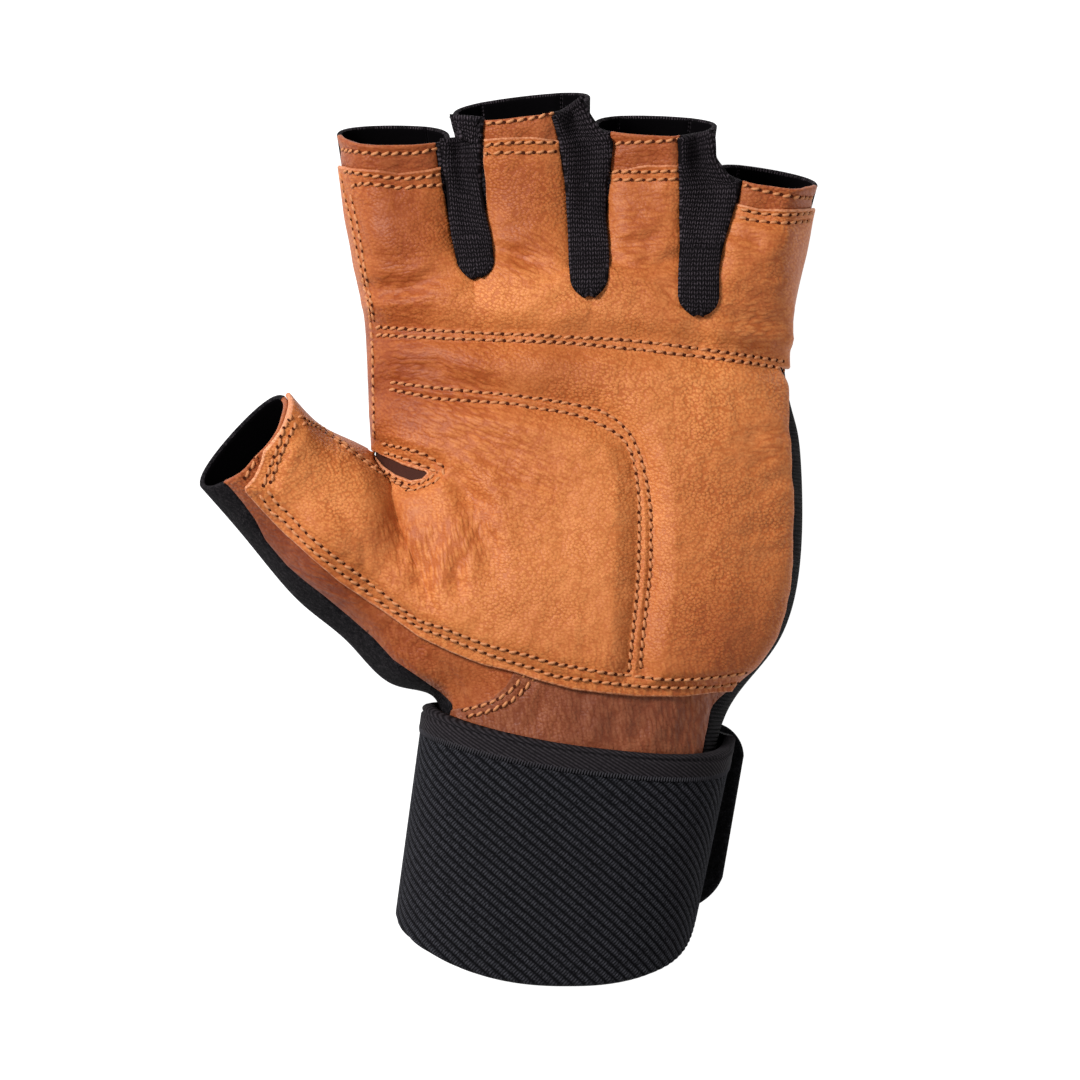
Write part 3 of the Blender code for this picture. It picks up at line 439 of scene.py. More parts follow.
def stall_rings(cage, web_ring, finger):
    """The rings of one finger stall, from the web to its open end."""
    stall = STALLS[finger]
    left, right = plan(WEB_POINTS[finger]), plan(WEB_POINTS[finger + 1])
    web_mid = WEB_MID * PALM_DEPTH
    web_half = Vector(((WEB_FRONT - WEB_MID) * PALM_DEPTH, (WEB_MID - WEB_BACK) * PALM_DEPTH))
    end_half = FINGER_DEPTH * stall.depth / 2.0
    end_mid = web_mid + FINGER_CURL
    length = FINGER_LENGTH * stall.length
    rings = [limbs_of(web_ring, finger, finger)]
    for k in range(1, STALL_RINGS + 1):
        t = k / STALL_RINGS
        web_centre = (left + right) / 2.0
        centre_x = web_centre.x + (stall.end_x * HAND_BREADTH - web_centre.x) * t
        web_width = right.x - left.x - WEB_SLIT
        width = web_width + (FINGER_WIDTH * stall.width - web_width) * t
        base_slope = (right.y - left.y) / (right.x - left.x)
        slope = base_slope + (stall.tilt - base_slope) * t
        mid = web_mid + (end_mid - web_mid) * t * t
        sides = []
        strips = [FOURCHETTE_STRIP * (1.0 + (s - 1.0) * t) for s in (stall.left_strip, stall.right_strip)]
        for shares, sign, web_depth in (
            (front_shares(width, *strips), 1, web_half.x),
            (back_shares(), -1, web_half.y),
        ):
            half = web_depth + (end_half - web_depth) * t
            side = []
            for s in shares:
                u = 2.0 * s - 1.0
                z = sign * half * bulge(u)
                x = centre_x + u * width / 2.0
                y = web_centre.y + length * t + slope * (x - centre_x) - FINGER_RIM_SLANT * t * z
                side.append(Vector((x, y, mid + z)))
            sides.append(side)
        rings.append(cage.ring(*sides, after=rings[-1]))
    return rings


def thumb_rings(cage, crotch_ring, row):
    """The rings of the thumb stall, from the crotch of the thumb to its open end."""
    lower = plan(LinePoint(row.thumb_x, row.thumb_y))
    upper = plan(LinePoint(row.split_x, row.split_y))
    aim = Vector((math.cos(THUMB_AIM), math.sin(THUMB_AIM)))
    across = Vector((aim.y, -aim.x))
    crotch_mid = row.mid * PALM_DEPTH
    crotch_half = Vector(((row.front - row.mid) * PALM_DEPTH, (row.mid - row.back) * PALM_DEPTH))
    root = (lower + upper) / 2.0
    root_vector = upper - lower
    front = [s / heel_shares()[2] for s in heel_shares()[0][: FRONT_COLUMNS + 1]]
    rings = [limbs_of(crotch_ring, 0, 0)]
    for k in range(1, STALL_RINGS + 1):
        t = k / STALL_RINGS
        centre = root + aim * THUMB_LENGTH * t
        vector = root_vector.lerp(across * THUMB_WIDTH, smooth(t) * 0.5 + t * 0.5)
        mid = crotch_mid + THUMB_RISE * t
        sides = []
        for shares, sign, crotch_depth in ((front, 1, crotch_half.x), (back_shares(), -1, crotch_half.y)):
            half = crotch_depth + (THUMB_DEPTH / 2.0 - crotch_depth) * t
            side = []
            for s in shares:
                z = sign * half * bulge(2.0 * s - 1.0)
                narrow = THUMB_WAIST[k - 1] if s > 0.5 else THUMB_LOWER[k - 1]
                p = centre + vector * (s - 0.5) * (1.0 - narrow) - aim * THUMB_RIM_SLANT * t * z
                side.append(Vector((p.x, p.y, mid + z)))
            sides.append(side)
        rings.append(cage.ring(*sides, after=rings[-1]))
    return rings


def front_zone(first_limb, gusset=False, palm_row=-1):
    """Zone of each palm-side column of rings that start at first_limb, 0 being the thumb.
    palm_row is the row at the lower side of the faces."""

    def zone(i):
        limb, column = divmod(i + first_limb * FRONT_COLUMNS, FRONT_COLUMNS)
        if limb == 0 and column == 0:
            return THUMB_BACK
        if gusset and limb == FINGERS and column == FRONT_COLUMNS - 1:
            return GUSSET
        if limb > 0 and column in (0, FRONT_COLUMNS - 1):
            web = limb if column else limb - 1
            row = WEB_POINTS[web].tongue_row
            if row is not None and palm_row >= row:
                return WEB_1 + web - 1
        return PALM

    return zone


def back_zone(first_limb, gusset=False, web_row=False):
    """Zone of each column at the back of the hand. In the web row the knit between two fingers
    reaches down between the knuckles."""

    def zone(i):
        limb, column = divmod(i + first_limb * BACK_COLUMNS, BACK_COLUMNS)
        if limb == 0:
            return THUMB_BACK
        if gusset and limb == FINGERS and column == BACK_COLUMNS - 1:
            return GUSSET
        if web_row and column != 1:
            web = limb if column else limb - 1
            if 0 < web < FINGERS:
                return WEB_1 + web - 1
        return BACK

    return zone


def stall_zone(finger, columns, own):
    """Zone of each column at one side of a finger stall: knit next to another finger, else own."""

    def zone(i):
        if i == 0 and finger > 0:
            return WEB_1 + finger - 1
        if i == columns - 1 and finger < FINGERS - 1:
            return WEB_1 + finger
        return own

    return zone


def hand_cage():
    cage = Cage()
    rings = [cage.ring(*wrist_ring_points(-CUFF_LENGTH, *heel_shares()[:2]))]
    for row in HEEL_ROWS[:-1]:
        rings.append(cage.ring(*heel_ring_points(row), after=rings[-1]))
    crotch = cage.ring(*heel_ring_points(HEEL_ROWS[-1]), pinched=(1,), after=rings[-1])
    rings.append(crotch)
    for low, high, cells in zip(rings, rings[1:], HEEL_CELLS):
        cage.bridge(low, high, front_zone(0, True), back_zone(0, True), cells)

    thumb = thumb_rings(cage, crotch, HEEL_ROWS[-1])
    for low, high in zip(thumb, thumb[1:]):
        cage.bridge(low, high, lambda i: THUMB_BACK if i == 0 else PALM, lambda i: THUMB_BACK)

    palm = [limbs_of(crotch, 1, FINGERS)]
    for row in PALM_ROWS:
        palm.append(cage.ring(*palm_ring_points(row), after=palm[-1]))
    web = cage.ring(*web_ring_points(), pinched=(1, 2, 3), after=palm[-1])
    palm.append(web)
    for k, (low, high) in enumerate(zip(palm, palm[1:])):
        in_gusset, in_web = k < 2, k == len(palm) - 2
        cage.bridge(low, high, front_zone(1, in_gusset, k - 1), back_zone(1, in_gusset, in_web),
                    PALM_CELLS[k])

    for finger in range(FINGERS):
        stall = stall_rings(cage, web, finger)
        front, back = stall_zone(finger, FRONT_COLUMNS, PALM), stall_zone(finger, BACK_COLUMNS, BACK)
        for low, high in zip(stall, stall[1:]):
            cage.bridge(low, high, front, back)
    return cage


# Places in the photograph, as pixels of its 1080 frame
PHOTO_SCALE = 4200.0  # pixels to a metre
PHOTO_ZERO = (580.0, 735.0)  # the pixel of the design's origin
PHOTO_SIDE = 1080.0 / PHOTO_SCALE
PHOTO_MIDDLE = (540.0, 540.0)
PLACE = Vector((0.017014, -0.046761, 0.0))  # where the frame has the design's origin

# Upper edges of the leather overlay on the fingers, and where it ends on the thumb and the heel
OVERLAY_TOPS = (
    ((250, 160), (334, 163), (355, 168), (380, 170), (400, 173), (425, 170), (452, 164)),
    ((474, 140), (500, 138), (531, 137), (553, 140), (572, 142)),
    ((600, 175), (612, 172), (646, 165), (677, 165), (690, 166)),
    ((722, 200), (735, 203), (760, 209), (790, 209), (812, 207), (900, 196)),
)
OVERLAY_LOWER = (
    (900, 680), (743, 686), (724, 690), (680, 696), (637, 696), (604, 693), (572, 689),
    (539, 680), (513, 671), (485, 664), (452, 651), (420, 636), (400, 622), (370, 602),
    (340, 580), (315, 558), (290, 535), (266, 511), (247, 489),
)
OVERLAY_THUMB = ((245, 487), (254, 477), (261, 461), (267, 437), (277, 403), (279, 392), (281, 372))
SLIT = (
    (366, 451), (377, 452), (394, 460), (405, 466), (417, 470), (429, 473), (423, 479), (412, 481),
    (398, 475), (385, 466), (374, 456), (366, 456),
)
CUFF_BORDER = (
    (900, 660), (640, 678), (560, 660), (528, 648), (519, 662), (513, 673), (505, 686), (492, 697),
    (474, 704), (452, 708.6), (430, 712), (300, 716), (200, 720), (200, 900), (900, 900),
)

# Rows of stitches, each a path
EDGE_ROWS = (
    ((375, 327), (417, 330), (480, 333), (560, 337), (628, 340.5), (685, 347), (740, 355), (783, 361.5)),
    ((375, 335), (417, 337.5), (480, 340), (560, 343), (628, 349), (685, 355), (740, 362), (785, 369)),
    ((389, 382), (417, 386), (456, 390), (484, 393), (522, 397), (551, 401), (576, 405.5),
     (599, 411), (618, 422), (631.5, 437), (641, 460), (647, 487), (650, 512), (650.5, 540),
     (650, 569), (648, 588), (645.6, 610), (643.4, 629), (641, 653), (640, 668)),
    ((388, 389), (417, 395), (436, 399), (465, 401), (513, 404), (532, 408), (561, 412),
     (580, 417), (605, 427.5), (624, 441), (633.4, 462), (638, 492), (639, 513), (639, 540),
     (638, 569), (636, 598), (632.6, 631), (630.4, 653), (628.7, 670)),
    ((261, 494), (271, 510), (285, 521), (307, 544), (336, 568), (360, 586), (382, 603),
     (406, 618), (420, 627), (442, 635), (463, 643.5), (485, 652), (507, 660), (528, 666),
     (554, 675), (583, 679), (615, 683), (648, 686), (691, 687), (724, 685), (745, 681.5)),
    ((268, 489), (278, 503), (290, 514), (312, 537), (341, 561), (365, 579), (387, 596),
     (406, 611), (420, 620), (442, 627), (463, 635), (485, 643.5), (507, 650), (528, 655),
     (550, 662), (572, 666), (604, 672), (637, 676), (669, 679), (702, 678), (745, 673)),
    ((293, 415), (285, 429), (279, 447), (272, 465), (264, 486)),
    ((297, 423), (289, 439), (282, 455), (276, 471), (272, 482)),
    ((297, 416), (306, 419.5), (322, 428), (334, 436), (352, 449.5), (367, 461), (385, 472), (402, 483)),
    ((301, 423), (315.5, 427), (331.5, 437), (349.6, 451), (366, 463), (386, 477), (408, 489)),
    ((381, 443), (398, 447), (417, 452), (431, 458), (442, 466), (444, 471.5), (440, 478),
     (431, 484), (413.5, 490.6), (408, 490)),
    ((383, 452), (408, 460), (423, 466), (433.6, 470.5), (434.6, 475), (421, 483), (410, 484)),
    ((340, 172), (342, 180), (345, 196), (351, 219), (355.5, 241), (361, 267), (366.5, 294),
     (370, 312), (373, 349), (373.5, 378), (374, 406), (374.5, 437)),
    ((351, 193), (352.5, 201), (357.5, 223), (361.5, 244), (366, 273), (371, 300), (374, 320)),
)
TOP_ROWS = (
    ((343, 171), (356, 173), (374, 176.4), (400, 178.6), (420, 178), (443, 174)),
    ((350, 187), (363, 184), (382, 185.6), (400, 188), (427, 186), (445, 184.5)),
    ((483, 146), (516, 143), (554, 142.5)),
    ((483, 155), (499, 153), (525, 153), (556, 151.4)),
    ((611, 172), (646, 172), (678, 171)),
    ((611, 180), (646, 180), (677, 179)),
    ((739, 208), (756, 213), (783, 215), (812, 213)),
    ((737, 217), (756, 221), (783, 223), (810, 221)),
)
HEM_ROWS = (
    ((341, 149), (350, 151.4), (374, 154), (395, 154), (418, 153), (439, 148)),
    ((484, 124), (507, 122), (534, 118.4), (556, 113)),
    ((613, 144), (640, 142.5), (660, 141.6), (684, 139)),
    ((740, 185), (765, 191.6), (792, 197), (812, 198)),
    ((268, 425), (262, 445), (256, 461), (246, 478)),
)
CUFF_ROWS = (
    ((528, 671), (520, 680), (511, 690), (496, 700), (480, 706), (463, 710)),
    ((536, 676), (527, 686), (518, 695), (507, 703), (485, 712), (468, 716)),
)

# Creases of the palm, each with its depth and half width in millimetres and its path
Crease = namedtuple("Crease", "depth width path")
CREASES = (
    Crease(1.20, 2.2, ((366, 285), (386, 287), (404, 286), (425, 281), (445, 277), (463, 278))),
    Crease(0.45, 1.4, ((384, 296), (406, 292), (436, 291))),
    Crease(1.10, 2.0, ((490, 246), (513, 252), (532, 265), (548, 277), (562, 283))),
    Crease(0.45, 1.4, ((487, 234), (505, 230), (526, 227))),
    Crease(0.55, 1.8, ((534, 323), (554, 310), (574, 298))),
    Crease(0.75, 1.7, ((614, 243), (630, 244), (646, 239), (668, 231))),
    Crease(0.45, 1.4, ((606, 259), (618, 264), (636, 268))),
    Crease(0.45, 1.4, ((654, 263), (670, 259), (684, 255))),
    Crease(0.60, 1.6, ((652, 283), (664, 291), (682, 305))),
    Crease(0.75, 1.7, ((724, 230), (740, 236), (754, 241), (776, 244))),
    Crease(0.90, 2.4, ((712, 312), (735, 319), (758, 322), (790, 322))),
    Crease(0.65, 2.6, ((704, 340), (735, 349), (760, 352), (790, 354))),
    Crease(0.90, 2.6, ((370, 360), (394, 360), (412, 365), (430, 368), (456, 377), (486, 388))),
    Crease(0.50, 3.4, ((380, 349), (415, 353), (450, 362), (492, 371))),
    Crease(0.50, 1.8, ((398, 413), (432, 419), (476, 434), (512, 452), (550, 465))),
    Crease(0.50, 1.8, ((410, 432), (448, 441), (488, 460), (524, 481), (566, 500))),
    Crease(1.70, 2.8, ((441, 464), (453, 476), (461, 484), (468, 496), (475, 512), (482, 531),
                       (488, 550), (495, 578))),
    Crease(0.80, 1.8, ((472, 492), (484, 503), (498, 518))),
    Crease(1.20, 4.2, ((398, 494), (394, 515), (393, 532), (395, 552), (401, 582))),
    Crease(1.30, 2.6, ((432, 512), (438, 533), (436, 548), (430, 566), (427, 584), (434, 606))),
    Crease(1.00, 2.2, ((465, 552), (458, 566), (456, 579), (467, 604))),
    Crease(0.45, 1.6, ((737, 442), (758, 437), (788, 432))),
    Crease(0.45, 1.6, ((788, 475), (772, 480), (756, 491))),
    Crease(0.30, 1.6, ((728, 537), (752, 532), (784, 530))),
    Crease(0.30, 1.8, ((330, 505), (350, 530), (376, 556))),
    Crease(0.90, 1.8, ((703, 694), (704, 716), (701, 740))),
    Crease(0.90, 1.8, ((716, 692), (719, 714), (717, 736))),
    Crease(0.60, 1.8, ((688, 698), (687, 716), (683, 740))),
    Crease(0.45, 2.0, ((640, 698), (640, 722), (636, 744))),
    Crease(0.45, 2.0, ((584, 692), (580, 718), (574, 740))),
    Crease(0.40, 1.8, ((548, 686), (540, 706), (530, 728))),
)

# Where the leather is darker or paler than its own colour, partly its own uneven tone and partly painted
# shade and painted light of the palm's form: middle and radius in pixels, factor
ToneAndLight = namedtuple("ToneAndLight", "x y radius factor")
TONES_AND_PAINTED_LIGHT = (
    ToneAndLight(400, 225, 56, 0.56),
    ToneAndLight(392, 300, 40, 0.80),
    ToneAndLight(395, 175, 26, 0.80),
    ToneAndLight(392, 358, 34, 0.74),
    ToneAndLight(396, 405, 40, 0.62),
    ToneAndLight(460, 362, 54, 0.71),
    ToneAndLight(560, 362, 44, 0.71),
    ToneAndLight(520, 180, 46, 0.60),
    ToneAndLight(520, 240, 36, 0.75),
    ToneAndLight(640, 190, 44, 0.82),
    ToneAndLight(650, 235, 36, 0.86),
    ToneAndLight(770, 265, 46, 0.84),
    ToneAndLight(710, 385, 50, 1.24),
    ToneAndLight(730, 520, 60, 0.98),
    ToneAndLight(730, 640, 60, 0.64),
    ToneAndLight(396, 525, 26, 0.84),
    ToneAndLight(366, 335, 15, 0.66),
    ToneAndLight(369, 385, 15, 0.66),
    ToneAndLight(371, 430, 15, 0.66),
    ToneAndLight(520, 305, 56, 1.20),
    ToneAndLight(560, 520, 70, 1.06),
    ToneAndLight(644, 505, 30, 1.14),
    ToneAndLight(440, 590, 60, 1.04),
    ToneAndLight(340, 480, 60, 1.12),
)

# The same for the base and cuff leather: partly their own tone, partly painted shade and painted light
BASE_TONES_AND_PAINTED_LIGHT = (
    ToneAndLight(275, 545, 40, 0.66),
    ToneAndLight(325, 600, 36, 0.74),
    ToneAndLight(395, 160, 40, 0.96),
    ToneAndLight(640, 720, 80, 1.05),
    ToneAndLight(450, 695, 40, 1.10),
)

# Where the leather is finely wrinkled: middle and radius in pixels, strength, and the family,
# 0 for wrinkles that run down to the right, 1 for upright ones and 2 for level ones
Wrinkled = namedtuple("Wrinkled", "x y radius strength family")
WRINKLED = (
    Wrinkled(430, 415, 44, 0.6, 0),
    Wrinkled(490, 440, 50, 0.8, 0),
    Wrinkled(545, 485, 46, 0.5, 0),
    Wrinkled(530, 262, 34, 1.0, 0),
    Wrinkled(680, 295, 30, 0.8, 0),
    Wrinkled(470, 372, 34, 0.8, 0),
    Wrinkled(395, 530, 28, 0.7, 1),
    Wrinkled(435, 560, 36, 1.0, 1),
    Wrinkled(475, 530, 30, 0.9, 1),
    Wrinkled(400, 660, 60, 0.6, 1),
    Wrinkled(310, 590, 60, 1.0, 0),
    Wrinkled(705, 715, 40, 1.6, 1),
    Wrinkled(600, 720, 80, 0.8, 1),
    Wrinkled(500, 725, 50, 0.6, 1),
    Wrinkled(410, 285, 40, 0.9, 2),
    Wrinkled(400, 365, 36, 1.0, 2),
    Wrinkled(640, 245, 40, 0.8, 2),
    Wrinkled(755, 325, 36, 1.0, 2),
    Wrinkled(755, 240, 30, 0.8, 2),
    Wrinkled(765, 440, 30, 0.7, 2),
    Wrinkled(390, 160, 60, 0.5, 2),
    Wrinkled(640, 155, 60, 0.5, 2),
)

# Edges of the thumb's fleece on the palm side, in the photograph
FLEECE_AREA = (
    (226, 484), (231, 489), (242, 502), (255, 520), (265, 540), (275, 552), (287, 566), (303, 580),
    (325, 597), (349, 617), (374, 639), (393, 660), (418, 677), (440, 692), (452, 704), (452, 780),
    (120, 780), (120, 470),
)

# Raised knit strips between the fingers, from their upper ends: left and right edge of each row
STRIP_1 = (
    (440, 138, 483, 134), (441, 150, 481, 148), (443, 168, 481, 166), (446, 185, 482, 189),
    (448, 211, 486.5, 217), (452, 240, 492, 239), (457, 262, 494, 260),
)
STRIP_2 = (
    (551, 117, 581, 95), (554, 126, 590, 114), (557, 136, 601, 130), (560, 147, 614, 141),
    (563.5, 168, 611, 165), (565, 188, 606, 187), (566.5, 210, 605.5, 214), (568, 238, 608, 238),
    (568.5, 264, 609.5, 262), (570, 279, 608, 278),
)
STRIP_3 = (
    (677, 138, 714, 128), (678, 150, 716, 142), (678, 163, 716, 158), (678.5, 174, 728, 174),
    (679, 188, 740, 186), (679, 204, 735, 206), (679, 226, 728, 229), (679.4, 246, 723, 247),
    (678, 270, 719, 268), (677.5, 296, 719, 298),
)
FLAP = ((450, 114, 484, 119), (451, 120, 484, 126), (453, 128, 482, 136), (455, 138, 480, 148))

# The fine form: rounds of fitting it to the cage's points, of evening out its normals, and of
# relaxing it below the webs, down to the pixels just past the strips' tips
FIT_LEVEL = 3
FIT_ROUNDS = 6
NORMAL_ROUNDS = 10
WEB_ROUNDS = 30
WEB_REACH = 0.006
VALLEY_ENDS = ((478, 300), (588, 302), (699, 318))
FACING_PALM = 0.5  # height of the normal from which folds are pressed in fully

# Folds are pressed in by a share of their depth, and fade towards their ends
FOLD_SHARE = 0.5
FOLD_END = 0.35
CREASE_WAVER = 0.0004
CREASE_WAVES = 110.0
RIDGE_PLACE, RIDGE_HEIGHT = 1.9, 0.35  # of a crease's rim, in its half widths and depths
UNEVEN = ((0.00035, 90.0), (0.00014, 330.0))  # heights of the leather's unevenness, and waves to a metre

# Rims of the walls, and the sewn channels
RIM_NOSE = 0.00035
RIM_REACH = 4.5  # how far in a rim is drawn back, in noses
CHANNEL_DEPTH = 0.00070
CHANNEL_HALF = 0.0013
HEM_CHANNEL, CUFF_CHANNEL = 0.6, 0.7  # shares of the channels' depth in the thinner leather
PADDED_ROWS = 4  # of EDGE_ROWS, that hold the padding down inside the overlay
PAD_SLOPE = 0.8  # how quickly the padding grows below the webs
PAD_FACING = 0.7
OVERLAP = 0.001
CUFF_SEAM, CUFF_SEAM_PLACE, CUFF_SEAM_HALF = 0.0007, 0.002, 0.004
OVERLAY_NOSE = 0.0005
OVERLAY_TURN = 0.0006  # how far the overlay goes past the thumb's leather
FINGER_FADE = 0.012  # above the webs, where the overlay gets thinner
THIN_FINGERS, THIN_BETWEEN = 0.30, 0.42
THIN_FROM, THIN_TO, THIN_FADE = 455.0, 710.0, 15.0  # pixels across the photograph
CHANNEL_LEAST, CHANNEL_MORE = 0.4, 0.6
STEEP, STEEP_FADE = 0.25, 0.5
# Sheet of painted shade in the overlay's slit: its margin past the slit, and its outer and inner heights
SLIT_SHADE_MARGIN, SLIT_SHADE_OUTER, SLIT_SHADE_INNER = 0.0006, 0.0003, 0.00005
BEHIND_SLOPE = 0.01

# Knit strips
STRIP_LIFT = 0.0009
FLAP_LIFT = 0.0008
STRIP_WALL = 0.0016
STRIP_SAG = 0.0030
STRIP_CROWN = 0.0007
STRIP_BESIDE = 0.0008  # how far outside its edges a strip takes its height from the leather
STRIP_SAG_END = 0.75
STRIP_COLUMNS = 26
STRIP_NOSE = 0.0007
STRIP_STEPS = 12  # between two rows of its table
STRIP_TIP_STEPS = 9
STRIP_TIP_ROUNDS = 6
PLAN_BLUR, HEIGHT_BLUR = 5, 7  # rows to each side over which a strip's plan and height are evened

# Stitches
PATH_STEP = 0.0002
STITCH_PITCH = 0.00236
STITCH_LENGTH = 0.00205
STITCH_RADIUS = 0.00038
STITCH_SLANT = math.radians(17)
STITCH_BOW = 0.9
STITCH_SINK = 0.35
STITCH_TURNS, STITCH_SIZES = 0.10, 0.08  # by how much single stitches differ
THREAD_SPREAD, THREAD_BLUNT, THREAD_ROUND = 0.7, 3.5, 2.2  # powers in a thread's outline
LONGEST_STEP = 0.0006  # of a row over a hollow
# Dark discs of painted shade at the needle holes: radius, lift, dish and stretch
HOLE_RADIUS = 0.00042
HOLE_LIFT, HOLE_DISH, HOLE_STRETCH = 0.00009, 0.00005, 1.1

# Weave of the wrist wrap, its binding and the seam between them
WRAP_COLUMNS = 600
WRAP_FINE_ROWS = 124
WRAP_INNER_ROWS = 4
WRAP_RIB_PITCH = 0.00155
WRAP_EDGE, WRAP_EDGE_LEFT = 0.02, 0.45
RIBS_AROUND = 68
RIB_DEPTH = 0.00042
RIB_SHARPNESS = 0.7
BEAD_PITCH = 0.0012
BEAD_SLANT = 1.3
BINDING_COLUMNS = 400
BINDING_FINE_ROWS = 30
BINDING_LOWER, BINDING_UPPER, BINDING_EDGE_LEFT = 0.16, 0.22, 0.35
BINDING_PROUD = 0.0003
BINDING_FOLD, BINDING_FOLD_PLACE, BINDING_FOLD_HALF = 0.0005, 0.74, 0.06
BINDING_OVERLAP, SEAM_DROP = 0.008, 0.006  # shares of the wrap's height
TAPE_LINES = 1450.0  # to a metre
TAPE_SLANT = math.radians(30)
OVERLOCK_RUN = 0.2
OVERLOCK_PITCH = 0.00066
OVERLOCK_SIZE = (0.00085, 0.00020, 0.00025)
OVERLOCK_LEAN = 0.25
OVERLOCK_LIFT = 0.0001

# Closure tab
TAB_FINE_COLUMNS, TAB_FINE_ROWS = 60, 40
TAB_END = 0.04  # share of half a turn left out at either end, where the columns would meet
TAB_BEND = 0.55
TAB_BEND_POWER = 1.8
TAB_SIDE = TAB_THICKNESS / 2.0 * 0.9
TAB_NOSE = 0.0008

# How strongly red, green and blue follow the grain's painted shade and light and the tone, which is partly
# painted light and shade: darker leather is redder
GRAIN_SHADE_POWERS = (0.80, 1.50, 2.00)
TONE_AND_LIGHT_POWERS = (0.95, 1.45, 1.80)

# Angle of each family of wrinkles in degrees, and the length and width of one wrinkle
WRINKLE_WAYS = ((-24.0, 0.0030, 0.00085), (-80.0, 0.0030, 0.00085), (3.0, 0.0030, 0.00085))
PEBBLE_WAY = (-20.0, 0.00080, 0.00062)
CELL_HEIGHT = 0.002
PIT_DEPTH = 0.5

# Floor, light and camera
FLOOR_HALF = 3.0
FLOOR_DROP = 0.0002
FLOOR_GLOW = 0.96
WORLD_STRENGTH = 0.25
LAMPS = (
    ("key", (-0.65, 0.50, 0.80), 0.32, 17.5),
    ("fill", (0.70, -0.25, 0.95), 0.80, 3.5),
)
LENS, SENSOR = 1000.0, 36.0
SHARP_HEIGHT = 0.7  # share of PALM_DEPTH at which the frame is as wide as the photograph's
HIGH_ABOVE, JUST_ABOVE = 0.2, 0.03


def from_photo(path):
    """A path of the photograph, in the plan of the design."""
    points = np.array(path, float)
    x = (points[:, 0] - PHOTO_ZERO[0]) / PHOTO_SCALE
    y = (PHOTO_ZERO[1] - points[:, 1]) / PHOTO_SCALE
    return np.stack([x, y], axis=1)


def lengths(vectors):
    return np.sqrt((vectors**2).sum(axis=-1))


def unit(vectors):
    return vectors / np.maximum(lengths(vectors), 1e-12)[..., None]


def eased(t):
    t = np.clip(t, 0.0, 1.0)
    return t * t * (3.0 - 2.0 * t)


def round_edge(t):
    """Height of a quarter circle, from 0 at t = 0 to 1 at t = 1."""
    return math.sqrt(max(0.0, 1.0 - (1.0 - t) ** 2))


def distance_along(places, path):
    """For places in the plan: distance to a path, and the share of its length at the nearest
    point."""
    best = np.full(len(places), 1e9)
    share = np.zeros(len(places))
    steps = lengths(path[1:] - path[:-1])
    start, whole = 0.0, steps.sum()
    for a, b, step in zip(path, path[1:], steps):
        run = b - a
        t = np.clip(((places - a) @ run) / (step * step), 0.0, 1.0)
        gap = lengths(places - a - t[:, None] * run)
        near = gap < best
        best[near] = gap[near]
        share[near] = ((start + t * step) / whole)[near]
        start += step
    return best, share


def inside_outline(places, outline):
    """Signed distance to a closed outline of the photograph, above 0 inside."""
    outline = from_photo(outline)
    closed = np.vstack([outline, outline[:1]])
    gap, _ = distance_along(places, closed)
    inside = np.zeros(len(places), bool)
    x, y = places[:, 0], places[:, 1]
    for (ax, ay), (bx, by) in zip(closed, closed[1:]):
        if ay == by:
            continue
        crosses = (ay > y) != (by > y)
        inside ^= crosses & (x < (bx - ax) * (y - ay) / (by - ay) + ax)
    return np.where(inside, gap, -gap)


def gathered(vectors, corners, count):
    """Sum at each point of the vectors of the faces or edges that have it as a corner."""
    out = np.zeros((count, 3))
    for ids in corners.T:
        for axis in range(3):
            out[:, axis] += np.bincount(ids, vectors[:, axis], count)
    return out


def vertex_normals(points, quads):
    a, b, c, d = (points[quads[:, k]] for k in range(4))
    return unit(gathered(np.cross(c - a, d - b), quads, len(points)))


def blurred(values, quads):
    """The values at the points, each evened out with those of the quads around it."""
    middles = values[quads].mean(axis=1)
    times = np.bincount(quads.ravel(), minlength=len(values))
    return gathered(middles, quads, len(values)) / times[:, None]


def waves(points, scale):
    """Soft noise of about unit height over the points, with a pattern 1 / scale metres long."""
    return np.array([noise.noise(Vector(p) * scale) for p in points.tolist()]) * 2.0


def values_of(items, name, width, kind=float):
    """One property of a mesh's points, corners or faces, as rows of an array."""
    out = np.empty(len(items) * width, kind)
    items.foreach_get(name, out)
    return out.reshape(-1, width)


def subdivided(cage_points, cage, level):
    """The cage's surface at a level, as a mesh."""
    mesh = bpy.data.meshes.new("hand_form")
    mesh.from_pydata(cage_points, [], cage.faces)
    for name, corners in (("cloth", cage.cloth), ("cell", cage.cells)):
        mesh.uv_layers.new(name=name).data.foreach_set("uv", np.array(corners, float).ravel())
    form = bpy.data.objects.new("hand_form", mesh)
    bpy.context.scene.collection.objects.link(form)
    modifier = form.modifiers.new("round", "SUBSURF")
    modifier.levels = modifier.render_levels = level
    modifier.uv_smooth = "NONE"
    bpy.context.view_layer.update()
    graph = bpy.context.evaluated_depsgraph_get()
    smooth_mesh = bpy.data.meshes.new_from_object(form.evaluated_get(graph))
    bpy.data.objects.remove(form)
    bpy.data.meshes.remove(mesh)
    return smooth_mesh


def fitted_cage():
    """The cage, moved until its fine surface passes through its points."""
    cage = hand_cage()
    cage_points = [p.copy() for p in cage.points]
    for _ in range(FIT_ROUNDS):
        mesh = subdivided(cage_points, cage, FIT_LEVEL)
        for i, wanted in enumerate(cage.points):
            cage_points[i] += wanted - mesh.vertices[i].co
        bpy.data.meshes.remove(mesh)
    return cage, cage_points


